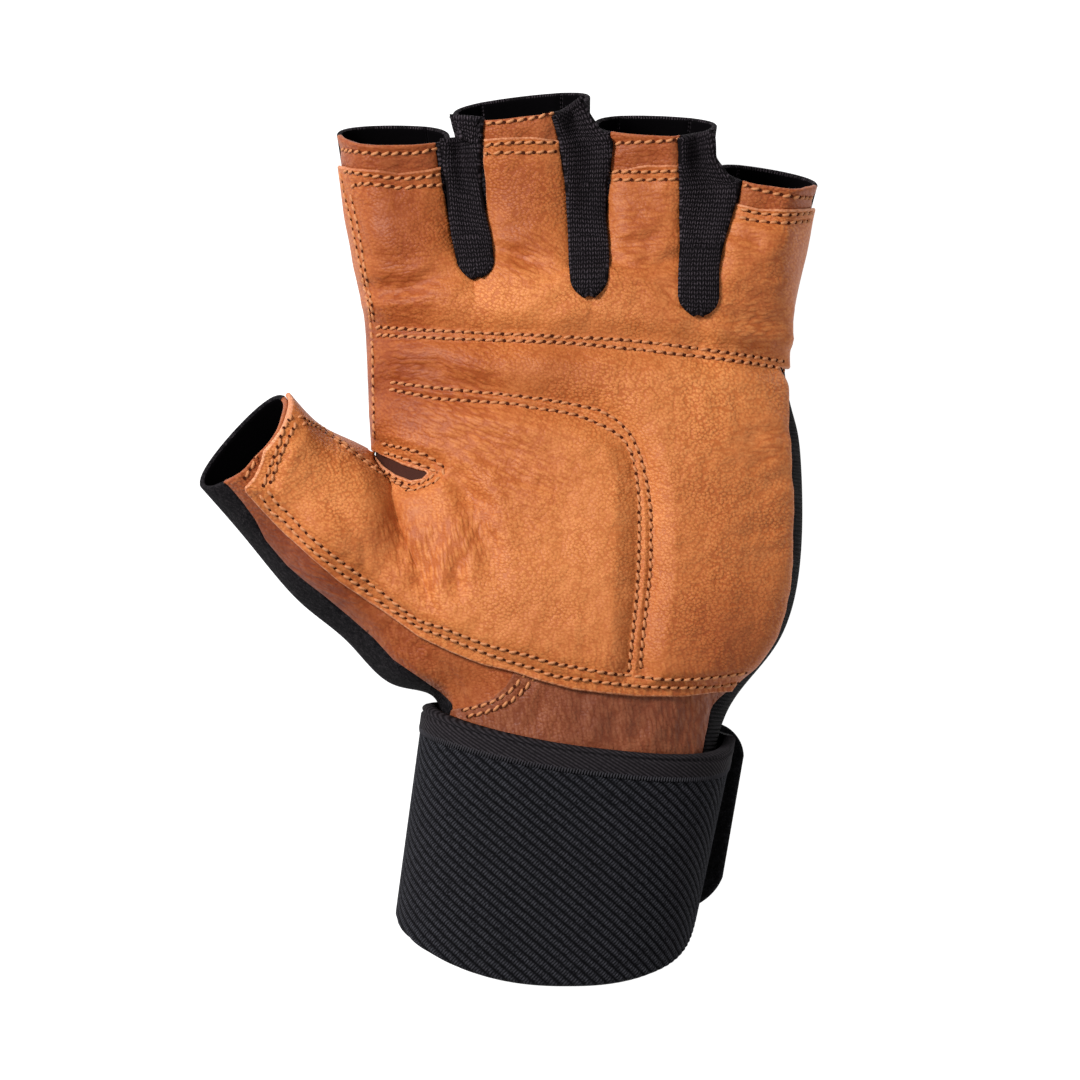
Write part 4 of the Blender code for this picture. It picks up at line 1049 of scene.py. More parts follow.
class Skin:
    """The outer face of the base glove: points, normals, quads, the zones of the quads and the
    cloth's coordinates at their corners."""

    def __init__(self, cage, cage_points):
        mesh = subdivided(cage_points, cage, FINE_LEVEL)
        size = 2**FINE_LEVEL
        points = values_of(mesh.vertices, "co", 3)
        corners = values_of(mesh.loops, "vertex_index", 1, np.int32).ravel()
        on_cloth = values_of(mesh.uv_layers["cloth"].data, "uv", 2)
        in_face = values_of(mesh.uv_layers["cell"].data, "uv", 2)
        bpy.data.meshes.remove(mesh)
        face = np.arange(len(corners)) // (4 * size * size)
        column, row = np.rint(in_face * size).astype(int).T
        grid = np.zeros((len(cage.faces), size + 1, size + 1), np.int64)
        grid[face, column, row] = corners
        across = np.zeros((len(cage.faces), size + 1, size + 1, 2))
        across[face, column, row] = on_cloth

        quads, cloth, zones = [], [], []
        for n, (zone, (columns, rows, turned)) in enumerate(zip(cage.zones, cage.counts)):
            a, b = size // columns, size // rows
            ids, place = grid[n, ::a, ::b], across[n, ::a, ::b]
            order = ((0, 0), (1, 0), (1, 1), (0, 1))
            order = order[::-1] if turned else order
            cut = [(slice(i, i + columns), slice(k, k + rows)) for i, k in order]
            quads.append(np.stack([ids[c] for c in cut], axis=-1).reshape(-1, 4))
            cloth.append(np.stack([place[c] for c in cut], axis=-2).reshape(-1, 4, 2))
            zones.append(np.full(columns * rows, zone))
        used, index = np.unique(np.vstack(quads), return_inverse=True)
        self.quads = index.reshape(-1, 4)
        self.points = points[used]
        self.zones = np.concatenate(zones)
        self.cloth = np.vstack(cloth)
        self.relax_webs()
        self.normals = vertex_normals(self.points, self.quads)
        for _ in range(NORMAL_ROUNDS):
            self.normals = unit(blurred(self.normals, self.quads))
        self.press_folds()

    def relax_webs(self):
        """Takes the sharp valley out of the leather between the webs and the strips' tips."""
        near = np.zeros(len(self.points))
        for web, end in zip(WEB_POINTS, from_photo(VALLEY_ENDS)):
            valley = np.array([(web.x * HAND_BREADTH, web.y * PALM_LENGTH), end])
            gap, _ = distance_along(self.points[:, :2], valley)
            near = np.maximum(near, np.exp(-((gap / WEB_REACH) ** 2)))
        for _ in range(WEB_ROUNDS):
            self.points = self.points + near[:, None] * (blurred(self.points, self.quads) - self.points)

    def press_folds(self):
        facing = eased(self.normals[:, 2] / FACING_PALM)
        places = self.points[:, :2]
        depth = np.zeros(len(places))
        for fold in FOLDS:
            ends = np.array([[fold.x0, fold.y0], [fold.x1, fold.y1]]) * (HAND_BREADTH, PALM_LENGTH)
            gap, share = distance_along(places, ends)
            taper = FOLD_END + (1.0 - FOLD_END) * np.sin(np.pi * np.clip(share, 0.02, 0.98))
            spread = fold.width * PALM_DEPTH
            depth += FOLD_SHARE * fold.depth * PALM_DEPTH * taper * np.exp(-((2.0 * gap / spread) ** 2))
        waved = places + CREASE_WAVER * waves(self.points, CREASE_WAVES)[:, None]
        for crease in CREASES:
            gap, share = distance_along(waved, from_photo(crease.path))
            width = crease.width * 0.001
            taper = np.sin(np.pi * np.clip(share, 0.03, 0.97)) ** 0.6
            valley = np.exp(-((gap / width) ** 2))
            ridge = np.exp(-(((gap - RIDGE_PLACE * width) / width) ** 2))
            depth += crease.depth * 0.001 * taper * (valley - RIDGE_HEIGHT * ridge)
        depth -= sum(height * waves(self.points, scale) for height, scale in UNEVEN)
        self.points = self.points - self.normals * (depth * facing)[:, None]
        self.points[:, 2] = np.maximum(self.points[:, 2], 0.0)


def clipped(points, normals, faces, field):
    """The part of the triangles where the field at the points is above 0."""
    inside = field > 0.0
    count = inside[faces].sum(axis=1)
    kept = faces[count == 3].tolist()
    new_points, new_normals, made = [], [], {}

    def crossing(i, k):
        key = (min(i, k), max(i, k))
        if key not in made:
            t = field[i] / (field[i] - field[k])
            made[key] = len(points) + len(new_points)
            new_points.append(points[i] + (points[k] - points[i]) * t)
            new_normals.append(normals[i] + (normals[k] - normals[i]) * t)
        return made[key]

    for face in faces[(count > 0) & (count < 3)].tolist():
        loop = []
        for i, k in zip(face, face[1:] + face[:1]):
            if inside[i]:
                loop.append(i)
            if inside[i] != inside[k]:
                loop.append(crossing(i, k))
        kept.append(loop[:3])
        if len(loop) == 4:
            kept.append([loop[0], loop[2], loop[3]])
    if new_points:
        points = np.vstack([points, new_points])
        normals = unit(np.vstack([normals, new_normals]))
    return points, normals, np.array(kept)


def leather_faces(skin):
    """Triangles of the zones that leather and fleece share."""
    quads = skin.quads[(skin.zones == PALM) | (skin.zones == THUMB_BACK)]
    return np.vstack([quads[:, [0, 1, 2]], quads[:, [0, 2, 3]]])


def open_edges(faces, count):
    """Edges that only one face has, in that face's direction."""
    a = faces.ravel()
    b = np.roll(faces, -1, axis=1).ravel()
    key = np.minimum(a, b) * count + np.maximum(a, b)
    _, index, times = np.unique(key, return_inverse=True, return_counts=True)
    single = times[index] == 1
    return np.stack([a[single], b[single]], axis=1)


def shell(points, normals, faces, outer, inner, cloth=None, nose=RIM_NOSE, steps=4, rim_finish=0):
    """A closed wall over the faces, between the heights outer and inner along the normals, with
    a rounded rim. Returns its points, faces, material numbers and the cloth at the corners."""
    used, index = np.unique(faces, return_inverse=True)
    faces = index.reshape(faces.shape)
    points, normals = points[used], normals[used]
    count = len(used)
    outer, inner = (np.full(count, h) if np.ndim(h) == 0 else h[used] for h in (outer, inner))
    edges = open_edges(faces, count)
    run = points[edges[:, 1]] - points[edges[:, 0]]
    out = unit(np.cross(run, normals[edges[:, 0]] + normals[edges[:, 1]]))
    push = unit(gathered(out, edges, count))
    rim = np.unique(edges)
    tree = KDTree(len(rim))
    for i in rim.tolist():
        tree.insert(points[i], i)
    tree.balance()
    near = [tree.find(p)[1:] for p in points.tolist()]
    nearest = np.array([n[0] for n in near])
    away = np.array([n[1] for n in near])
    drawn_back = nose * np.clip(1.0 - away / (RIM_REACH * nose), 0.0, 1.0)
    points = points - push[nearest] * drawn_back[:, None]

    layers = [points + normals * outer[:, None], points + normals * inner[:, None]]
    row = np.full(count, -1)
    row[rim] = np.arange(len(rim))
    middle, half = (outer + inner)[rim] / 2.0, (outer - inner)[rim] / 2.0
    start = 2 * count
    for k in range(1, steps):
        angle = math.pi * k / steps
        side = push[rim] * nose * math.sin(angle)
        layers.append(points[rim] + side + normals[rim] * (middle + half * math.cos(angle))[:, None])
    rings = [np.arange(count)]
    rings += [start + k * len(rim) + row for k in range(steps - 1)]
    rings.append(np.arange(count) + count)
    a, b = edges.T
    sides = [np.stack([up[b], up[a], low[a], low[b]], axis=1) for up, low in zip(rings, rings[1:])]
    all_faces = faces.tolist() + (faces[:, ::-1] + count).tolist() + np.vstack(sides).tolist()
    finish = [0] * len(faces) + [1] * len(faces) + [rim_finish] * (len(edges) * steps)
    corners = None
    if cloth is not None:
        at = np.zeros((count, 2))
        at[faces.ravel()] = cloth.reshape(-1, 2)
        ends = np.stack([at[b], at[a], at[a], at[b]], axis=1).reshape(-1, 2)
        corners = np.vstack([cloth.reshape(-1, 2), cloth[:, ::-1].reshape(-1, 2)] + [ends] * steps)
    return np.vstack(layers), all_faces, finish, corners


def add_piece(name, points, faces, materials, slot, finish=None, cloth=None, replaces=()):
    """A mesh piece in the frame's place, riding on the glove's one body."""
    mesh = bpy.data.meshes.new(name)
    mesh.from_pydata((np.asarray(points) + np.array(PLACE)).tolist(), [], faces)
    for material in materials:
        mesh.materials.append(material)
    if finish is not None and len(materials) > 1:
        mesh.polygons.foreach_set("material_index", finish)
    if cloth is not None:
        mesh.uv_layers.new(name="cloth").data.foreach_set("uv", np.asarray(cloth).ravel())
    mesh.shade_smooth()
    mesh.update()
    piece = bpy.data.objects.new(name, mesh)
    bpy.context.scene.collection.objects.link(piece)
    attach(piece, "root")
    if replaces:
        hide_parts(*replaces)
    return piece


def spots_at(places, spots, value):
    """Sum over the spots of the value times how near the places are to each."""
    out = np.zeros(len(places))
    for spot in spots:
        middle = from_photo([(spot.x, spot.y)])[0]
        out += value(spot) * np.exp(-((lengths(places - middle) * PHOTO_SCALE / spot.radius) ** 2))
    return out


def add_tone_and_painted_light(piece, spots):
    """Keeps at each point of a leather piece how pale it is, partly its own tone and partly painted light and
    shade, and how wrinkled its leather is there.
    """
    mesh = piece.data
    places = values_of(mesh.vertices, "co", 3)[:, :2] - np.array(PLACE)[:2]
    tone_and_light = np.exp(spots_at(places, spots, lambda spot: math.log(spot.factor)))
    mesh.attributes.new("tone_and_light", "FLOAT", "POINT").data.foreach_set("value", tone_and_light)
    families = []
    for family in range(len(WRINKLE_WAYS)):
        own = [spot for spot in WRINKLED if spot.family == family]
        families.append(spots_at(places, own, lambda spot: spot.strength))
    layer = mesh.attributes.new("wrinkled", "FLOAT_VECTOR", "POINT")
    layer.data.foreach_set("vector", np.column_stack(families).ravel())


# Leather pieces


def overlay_field(places):
    """Above 0 where the overlay lies, as a distance to its edge."""
    outline = [p for top in OVERLAY_TOPS for p in top]
    outline += list(OVERLAY_LOWER) + list(OVERLAY_THUMB)
    return np.minimum(inside_outline(places, outline), -inside_outline(places, SLIT))


def channel_depth(places, rows):
    depth = np.zeros(len(places))
    for row in rows:
        gap, _ = distance_along(places, from_photo(row))
        depth = np.maximum(depth, np.exp(-((gap / CHANNEL_HALF) ** 2)))
    return depth * CHANNEL_DEPTH


def pad_rise(places, normals, field):
    """How far the padding lifts the overlay: nothing along its edges and the quilting lines."""
    near = np.clip(field, 0.0, None)
    for row in EDGE_ROWS[:PADDED_ROWS]:
        near = np.minimum(near, distance_along(places, from_photo(row))[0])
    near = np.minimum(near, np.clip((LOWEST_WEB - places[:, 1]) * PAD_SLOPE, 0.0, None))
    return PAD_RISE * eased(near / CHANNEL_WIDTH) * eased(normals[:, 2] / PAD_FACING)


def fleece_field(skin):
    """Above 0 where the thumb's leather lies, below 0 where its fleece does."""
    places = skin.points[:, :2]
    fleece = inside_outline(places, FLEECE_AREA)
    own = np.unique(skin.quads[skin.zones == THUMB_BACK])
    shared = np.unique(skin.quads[skin.zones == PALM])
    behind = np.full(len(places), 1.0)
    behind[own] = skin.normals[own, 2] * BEHIND_SLOPE
    behind[shared] = 1.0
    return np.minimum(-fleece, behind)


def leather_wall(name, skin, field, outer, inner, paints, slot, node=(), tones_and_light=BASE_TONES_AND_PAINTED_LIGHT, **shape):
    """A leather piece where the field is above 0."""
    packed = np.column_stack([skin.points, outer])
    turned = np.column_stack([skin.normals, np.zeros(len(packed))])
    points, normals, part = clipped(packed, turned, leather_faces(skin), field)
    wall = shell(points[:, :3], unit(normals[:, :3]), part, points[:, 3], inner, **shape)
    piece = add_piece(name, wall[0], wall[1], paints, slot, finish=wall[2], replaces=node)
    add_tone_and_painted_light(piece, tones_and_light)
    return piece


def leather_pieces(skin, paints):
    places = skin.points[:, :2]
    cuff = inside_outline(places, CUFF_BORDER)
    thumb = fleece_field(skin)
    hems = channel_depth(places, HEM_ROWS) * HEM_CHANNEL
    base = leather_wall("palm_leather_base", skin, np.minimum(-cuff + OVERLAP, thumb), -hems, -LEATHER,
                        (paints["leather"], paints["lining"]), "tan_leather", ("palm_leather",))
    seam = CUFF_SEAM * eased(1.0 - np.abs(cuff - CUFF_SEAM_PLACE) / CUFF_SEAM_HALF)
    height = seam - channel_depth(places, CUFF_ROWS) * CUFF_CHANNEL
    wrist = leather_wall("cuff_leather_gathered", skin, np.minimum(cuff, thumb), height, -LEATHER,
                         (paints["brown"], paints["lining"]), "brown_leather", ("cuff_leather",))

    field = overlay_field(places)
    on_finger = eased((places[:, 1] - LOWEST_WEB) / FINGER_FADE)
    x = places[:, 0] * PHOTO_SCALE + PHOTO_ZERO[0]
    between = eased((x - THIN_FROM) / THIN_FADE) * eased((THIN_TO - x) / THIN_FADE)
    thin = 1.0 - on_finger * (THIN_FINGERS + THIN_BETWEEN * between)
    height = SEAM_GAP * 0.5 + OVERLAY_LEATHER * thin + pad_rise(places, skin.normals, field)
    facing = eased((skin.normals[:, 2] - STEEP) / STEEP_FADE)
    channels = channel_depth(places, EDGE_ROWS + TOP_ROWS)
    height -= channels * (CHANNEL_LEAST + CHANNEL_MORE * thin) * facing
    # Its rims take the cut edge's own paler colour together with a painted highlight along it
    piece = leather_wall("palm_overlay_padded", skin, np.minimum(field, thumb + OVERLAY_TURN), height,
                         SEAM_GAP * 0.25, (paints["overlay"], paints["leather"], paints["edge"]),
                         "tan_leather", ("palm_overlay",), TONES_AND_PAINTED_LIGHT, nose=OVERLAY_NOSE, rim_finish=2)
    # A dark brown sheet of painted shade in the overlay's slit, over the base leather there
    slit = inside_outline(places, SLIT) + SLIT_SHADE_MARGIN
    leather_wall("thumb_slit_painted_shade", skin, slit, np.full(len(places), SLIT_SHADE_OUTER), SLIT_SHADE_INNER,
                 (paints["slit_shade"],), "brown_leather")
    return base, wrist, piece


# Knit and fleece pieces


def evened(rows, reach):
    """Columns of a table of rows, each evened out over reach rows to either side."""
    kernel = np.hanning(2 * reach + 1)
    kernel /= kernel.sum()
    wide = np.vstack([rows[:1]] * reach + [rows] + [rows[-1:]] * reach)
    return np.column_stack([np.convolve(column, kernel, "valid") for column in wide.T])


def strip_rows(rows, end):
    """Smooth rows of a strip in the plan, rounded off past the last one."""
    rows = np.array(rows, float)
    t = np.linspace(0.0, len(rows) - 1.0, STRIP_STEPS * (len(rows) - 1) + 1)
    rows = np.column_stack([np.interp(t, np.arange(len(rows)), column) for column in rows.T])
    rows = evened(rows, PLAN_BLUR)
    left, right = from_photo(rows[:, :2]), from_photo(rows[:, 2:])
    if end:
        middle, half = (left[-1] + right[-1]) / 2.0, (right[-1] - left[-1]) / 2.0
        down = unit(middle - (left[-2] + right[-2]) / 2.0) * lengths(half)
        turns = [math.pi / 2.0 * k / STRIP_TIP_STEPS for k in range(1, STRIP_TIP_STEPS)]
        more = [middle + down * math.sin(a) for a in turns]
        left = np.vstack([left] + [m - half * math.cos(a) for m, a in zip(more, turns)])
        right = np.vstack([right] + [m + half * math.cos(a) for m, a in zip(more, turns)])
    return left, right


def knit_strip(name, rows, tree, paint, lift=STRIP_LIFT, sag=STRIP_SAG, end=True):
    """A raised knit strip that bridges two fingers, with its edges on their leather and its
    middle sunk between them towards its upper end."""
    left, right = strip_rows(rows, end)
    beside = unit(right - left) * STRIP_BESIDE
    left_z, right_z = (
        evened(laid_on(tree, side)[0][:, 2:], HEIGHT_BLUR)[:, 0] for side in (left - beside, right + beside)
    )
    wide = STRIP_COLUMNS + 1
    half = STRIP_WALL / 2.0
    points = []
    count = len(left)
    for i in range(count):
        sink = sag * eased(1.0 - i / (STRIP_SAG_END * count))
        for t in np.arange(wide) / STRIP_COLUMNS:
            x, y = left[i] + (right[i] - left[i]) * t
            crown = math.sin(math.pi * t)
            z = left_z[i] + (right_z[i] - left_z[i]) * t + lift
            z += STRIP_CROWN * crown - (sink + STRIP_CROWN) * crown**2 * (sink > 1e-5)
            points.append((x, y, z - half))
    points = np.array(points)
    start = count // 2 * wide
    under, _ = laid_on(tree, points[start:, :2])
    rise = np.clip(under[:, 2] + lift - half - points[start:, 2], 0.0, None).reshape(-1, wide)
    for _ in range(STRIP_TIP_ROUNDS):
        around = np.pad(rise, 1, mode="edge")
        spread = around[:-2, 1:-1] + around[2:, 1:-1] + around[1:-1, :-2] + around[1:-1, 2:]
        rise = np.maximum(rise, spread / 4.0)
    points[start:, 2] += rise.ravel()
    run = np.zeros((count, wide))
    grid = points.reshape(count, wide, 3)
    run[:, 1:] = np.cumsum(lengths(grid[:, 1:] - grid[:, :-1]), axis=1)
    run -= run[:, STRIP_COLUMNS // 2 : STRIP_COLUMNS // 2 + 1]
    middle = (left + right) / 2.0
    along = np.concatenate([[0.0], np.cumsum(lengths(middle[1:] - middle[:-1]))])
    quads, cloth = [], []
    for i in range(count - 1):
        for k in range(STRIP_COLUMNS):
            corners = ((i, k), (i + 1, k), (i + 1, k + 1), (i, k + 1))
            quads.append([a * wide + b for a, b in corners])
            cloth.append([(run[a, b], along[a]) for a, b in corners])
    quads = np.array(quads)
    wall = shell(points, vertex_normals(points, quads), quads, half, -half, cloth=np.array(cloth),
                 nose=STRIP_NOSE, steps=6)
    add_piece(name, wall[0], wall[1], (paint,), "black_knit", cloth=wall[3])


def fleece_piece(skin, paints):
    points, normals, part = clipped(skin.points, skin.normals, leather_faces(skin), -fleece_field(skin))
    wall = shell(points, normals, part, 0.0, -KNIT)
    add_piece("thumb_back_fleece", wall[0], wall[1], (paints["fleece"], paints["lining"]), "black_fleece",
              finish=wall[2], replaces=("thumb_back",))


def knit_panel(skin, paints, name, node, zone, paint="knit", stands=0.0):
    """A knit panel on the faces of its zone, which stands proud of the leather where it faces up."""
    chosen = skin.zones == zone
    outer = stands * eased(skin.normals[:, 2] / PAD_FACING)
    wall = shell(skin.points, skin.normals, skin.quads[chosen], outer, -KNIT, cloth=skin.cloth[chosen])
    add_piece(name, wall[0], wall[1], (paints[paint], paints["lining"]), "black_" + paint,
              finish=wall[2], cloth=wall[3], replaces=(node,))


def knit_pieces(skin, paints):
    knit_panel(skin, paints, "back_panel_knit", "back_panel", BACK)
    fleece_piece(skin, paints)
    knit_panel(skin, paints, "side_gusset_rib", "side_gusset", GUSSET, "rib")
    for fingers, zone in (("index_middle", WEB_1), ("middle_ring", WEB_2), ("ring_little", WEB_3)):
        knit_panel(skin, paints, "fourchette_knit_" + fingers, "fourchette_" + fingers, zone, "knit",
                   PROUD_KNIT)


# Stitches


def smooth_path(path):
    """A rounded path through the points, as close points in the plan."""
    points = from_photo(path)
    ends = np.vstack([2 * points[0] - points[1], points, 2 * points[-1] - points[-2]])
    out = []
    for a, b, c, d in zip(ends, ends[1:], ends[2:], ends[3:]):
        count = max(2, int(lengths(c - b) / PATH_STEP))
        t = (np.arange(count) / count)[:, None]
        out.append(0.5 * (2 * b + (c - a) * t + (2 * a - 5 * b + 4 * c - d) * t**2
                          + (3 * b - a - 3 * c + d) * t**3))
    return np.vstack(out + [points[-1:]])


def laid_on(tree, places):
    """The places' points on the surfaces of the tree, seen from above, and the normals there."""
    points, normals = [], []
    for x, y in places:
        hit, normal, _, _ = tree.ray_cast(Vector((x, y, HIGH_ABOVE)), Vector((0.0, 0.0, -1.0)))
        if hit is None:
            hit, normal, _, _ = tree.find_nearest(Vector((x, y, JUST_ABOVE)))
        points.append(hit[:])
        normals.append(normal[:])
    return np.array(points), np.array(normals)


def capsule(rings=6, sides=8):
    """A thread's bow, 1 long with radius 1: its points as along, side and up, and its faces."""
    points, faces = [(-1.0, 0.0, 0.0, 0.0)], []
    for i in range(rings):
        s = -1.0 + 2.0 * (i + 0.5) / rings
        s = math.copysign(abs(s) ** THREAD_SPREAD, s)
        r = (1.0 - abs(s) ** THREAD_BLUNT) ** (1.0 / THREAD_ROUND)
        for k in range(sides):
            angle = 2.0 * math.pi * k / sides
            points.append((s, r * math.cos(angle), r * math.sin(angle), 1.0 - s * s))
    points.append((1.0, 0.0, 0.0, 0.0))
    last = len(points) - 1
    for k in range(sides):
        n = (k + 1) % sides
        faces.append((0, 1 + n, 1 + k))
        faces.append((last, last - sides + k, last - sides + n))
        for i in range(rings - 1):
            a, b = 1 + i * sides, 1 + (i + 1) * sides
            faces.append((a + k, a + n, b + n, b + k))
    return np.array(points), faces


def disc(sides=10):
    """A small dished disc, as along, side and up, and its faces."""
    points = [(0.0, 0.0, 0.3)]
    for k in range(sides):
        angle = 2.0 * math.pi * k / sides
        points.append((math.cos(angle), math.sin(angle), 0.0))
    return np.array(points), [(0, 1 + k, 1 + (k + 1) % sides) for k in range(sides)]


def copies(shape, faces, frames):
    """One mesh of copies of a shape. A frame is (centre, along, side, up), each already scaled."""
    points, all_faces = [], []
    for n, (centre, along, side, up) in enumerate(frames):
        points.append(centre + shape[:, :1] * along + shape[:, 1:2] * side + shape[:, 2:3] * up)
        start = n * len(shape)
        all_faces += [tuple(i + start for i in face) for face in faces]
    return np.vstack(points), all_faces


def stitch_frames(tree, path):
    """Where the stitches of one row go: middle, direction along the thread, normal and length."""
    places = smooth_path(path)
    points, normals = laid_on(tree, places)
    steps = lengths(points[1:] - points[:-1])
    along = np.concatenate([[0.0], np.cumsum(np.minimum(steps, LONGEST_STEP))])
    count = max(1, int(along[-1] / STITCH_PITCH))
    wanted = (np.arange(count) + 0.5) * along[-1] / count
    out = []
    for n, s in enumerate(wanted):
        i = min(len(places) - 2, max(1, int(np.searchsorted(along, s))))
        j = max(0, i - 4)
        k = min(len(places) - 1, i + 4)
        run = unit(points[k] - points[j])
        normal = unit(normals[j : k + 1].mean(axis=0))
        turn = STITCH_SLANT + STITCH_TURNS * math.sin(12.9 * n + 78.2 * path[0][0])
        side = np.cross(normal, run)
        thread = unit(run * math.cos(turn) + side * math.sin(turn))
        size = STITCH_LENGTH * (1.0 + STITCH_SIZES * math.sin(4.7 * n + path[0][1]))
        out.append((points[i], thread, normal, size))
    return out


def stitching(name, tree, rows, paints, slot):
    """Rows of slanting stitches, as one piece, and dark discs of painted shade at the needle holes between
    them as another.
    """
    shape, faces = capsule()
    bowed = shape[:, :3].copy()
    bowed[:, 2] += STITCH_BOW * shape[:, 3]
    threads, holes = [], []
    for path in rows:
        for centre, along, normal, size in stitch_frames(tree, path):
            side = np.cross(normal, along)
            base = centre - normal * STITCH_RADIUS * STITCH_SINK
            threads.append((base, along * size / 2.0, side * STITCH_RADIUS, normal * STITCH_RADIUS))
            row = unit(along * math.cos(STITCH_SLANT) - side * math.sin(STITCH_SLANT))
            middle = centre + row * STITCH_PITCH / 2.0 + normal * HOLE_LIFT
            holes.append((middle, along * HOLE_RADIUS * HOLE_STRETCH, side * HOLE_RADIUS, normal * HOLE_DISH))
    add_piece(name, *copies(bowed, faces, threads), (paints["thread"],), slot)
    add_piece(name + "_hole_shade", *copies(*disc(), holes), (paints["hole_shade"],), slot)


# Wrist wrap


def wrap_point(angle, share, grow):
    """A point of the wrap's section at an angle, 0 at the little finger's side and a quarter
    turn at the palm side. share runs from the lower edge to the upper, and grow is the distance
    outside the cuff."""
    c, s = math.cos(angle), math.sin(angle)
    power = 2.0 / SQUARENESS
    u = math.copysign(abs(c) ** power, c)
    w = math.copysign(abs(s) ** power, s)
    low = -WRAP_HEIGHT - WRAP_FRONT_DROP * dip(u, s)
    high = WRAP_TOP_SLOPE * (1.0 - u) / 2.0 - WRAP_TOP_DIP * dip(u, s)
    y = low + (high - low) * share
    x = u * (WRIST_WIDTH / 2.0 + grow) * wrist_scale(y) + wrist_middle(y)
    return Vector((x, y, WRIST_MID_HEIGHT + w * (WRIST_DEPTH / 2.0 + grow)))


def dip(u, toward_palm):
    """How low the wrap's edges hang at u across the wrist: up to 1 at the palm side, a little
    past the middle, and below 0 at the back of the wrist, where they stand up."""
    if toward_palm < 0:
        return -0.3 * bulge(u) ** 1.8
    skewed = u - WRAP_SKEW * (1.0 - u * u)
    return bulge(skewed) ** (1.3 - 0.6 * max(0.0, skewed))


def wrap_angles(columns):
    """Angles round the wrap at equal distances along its section, and those distances."""
    fine = np.linspace(0.0, 2.0 * math.pi, 4001)
    ring = np.array([wrap_point(a, 0.5, WRAP_CLEARANCE + WRAP_THICKNESS) for a in fine])
    run = np.concatenate([[0.0], np.cumsum(lengths(ring[1:] - ring[:-1]))])
    wanted = run[-1] * np.arange(columns) / columns
    return np.interp(wanted, run, fine), wanted, run[-1]


def wrap_edges(angle):
    """Shares of the wrap's height at its binding's lower edge, and just under the seam there."""
    low, high = wrap_point(angle, 0.0, 0.0).y, wrap_point(angle, 1.0, 0.0).y
    seam = 1.0 - BINDING_HEIGHT / (high - low)
    return seam, seam - SEAM_GAP / (high - low)


def band(name, columns, rows, low_share, high_share, profile, materials, slot, node):
    """A closed tube of the wrap. profile gives how far out the outer face lies at a place along
    the section, a height in metres and a share of the band's own height."""
    angles, around, whole = wrap_angles(columns)
    points, cloth = [], []
    layout = [(j / rows, True) for j in range(rows + 1)]
    layout += [(j / WRAP_INNER_ROWS, False) for j in range(WRAP_INNER_ROWS, -1, -1)]
    for s, outside in layout:
        for a, run in zip(angles, around):
            share = low_share(a) + (high_share(a) - low_share(a)) * s
            out = WRAP_CLEARANCE
            y = wrap_point(a, share, 0.0).y
            if outside:
                out += profile(run / whole, y, s)
            points.append(wrap_point(a, share, out))
            cloth.append((run, y))
    layers = len(layout)
    faces, corners, finish = [], [], []
    for j in range(layers):
        n = (j + 1) % layers
        for i in range(columns):
            k = (i + 1) % columns
            face = (j * columns + k, j * columns + i, n * columns + i, n * columns + k)
            faces.append(face)
            finish.append(0 if j <= rows or j == layers - 1 else 1)
            for corner, wraps in zip(face, (k == 0, False, False, k == 0)):
                u, v = cloth[corner]
                corners.append((whole if wraps else u, v))
    add_piece(name, points, faces, materials, slot, finish=finish, cloth=corners, replaces=(node,))


def wrap_profile(turn, y, share):
    """Cords run down to the right across the band, with narrow grooves between them."""
    rib = turn - (y / (math.sqrt(2.0) * WRAP_RIB_PITCH)) / RIBS_AROUND
    groove = abs(math.cos(math.pi * RIBS_AROUND * rib)) ** RIB_SHARPNESS
    edge = round_edge(min(1.0, min(share, 1.0 - share) / WRAP_EDGE))
    thickness = WRAP_THICKNESS - RIB_DEPTH * (1.0 - groove)
    return thickness * (WRAP_EDGE_LEFT + (1.0 - WRAP_EDGE_LEFT) * edge)


def binding_profile(turn, y, share):
    edge = round_edge(min(share / BINDING_LOWER, (1.0 - share) / BINDING_UPPER, 1.0))
    fold = BINDING_FOLD * math.exp(-(((share - BINDING_FOLD_PLACE) / BINDING_FOLD_HALF) ** 2))
    left = BINDING_EDGE_LEFT
    return WRAP_THICKNESS * (left + (1.0 - left) * edge) + BINDING_PROUD - fold


def wrist_wrap(paints):
    band("wrist_wrap_ribbed", WRAP_COLUMNS, WRAP_FINE_ROWS, lambda a: 0.0, lambda a: wrap_edges(a)[1],
         wrap_profile, (paints["elastic"], paints["lining"]), "black_elastic", "wrist_wrap")
    band("wrap_binding_tape", BINDING_COLUMNS, BINDING_FINE_ROWS,
         lambda a: wrap_edges(a)[1] - BINDING_OVERLAP, lambda a: 1.0,
         binding_profile, (paints["tape"], paints["lining"]), "black_tape", "wrap_binding")
    shape, faces = capsule(rings=4, sides=6)
    frames = []
    out = WRAP_CLEARANCE + WRAP_THICKNESS
    long, wide, high = OVERLOCK_SIZE
    for a in wrap_angles(int(OVERLOCK_RUN / OVERLOCK_PITCH))[0]:
        share = wrap_edges(a)[0] - SEAM_DROP
        centre = np.array(wrap_point(a, share, out + OVERLOCK_LIFT))
        up = unit(np.array(wrap_point(a, share, out + 0.001)) - centre)
        across = unit(np.array(wrap_point(a + 0.01, share, out)) - np.array(wrap_point(a - 0.01, share, out)))
        along = unit(np.cross(up, across) + OVERLOCK_LEAN * across)
        frames.append((centre, along * long, unit(np.cross(up, along)) * wide, up * high))
    add_piece("wrap_overlock_seam", *copies(shape, faces, frames), (paints["seam"],), "black_tape")


def tab_half_height(x, left, right):
    """Half the tab's height at x: it is rounded at both ends."""
    near = min(x - left, right - x)
    if near >= TAB_CORNER:
        return TAB_HEIGHT / 2.0
    cut_back = TAB_CORNER - math.sqrt(max(0.0, TAB_CORNER**2 - (TAB_CORNER - near) ** 2))
    return TAB_HEIGHT / 2.0 - cut_back


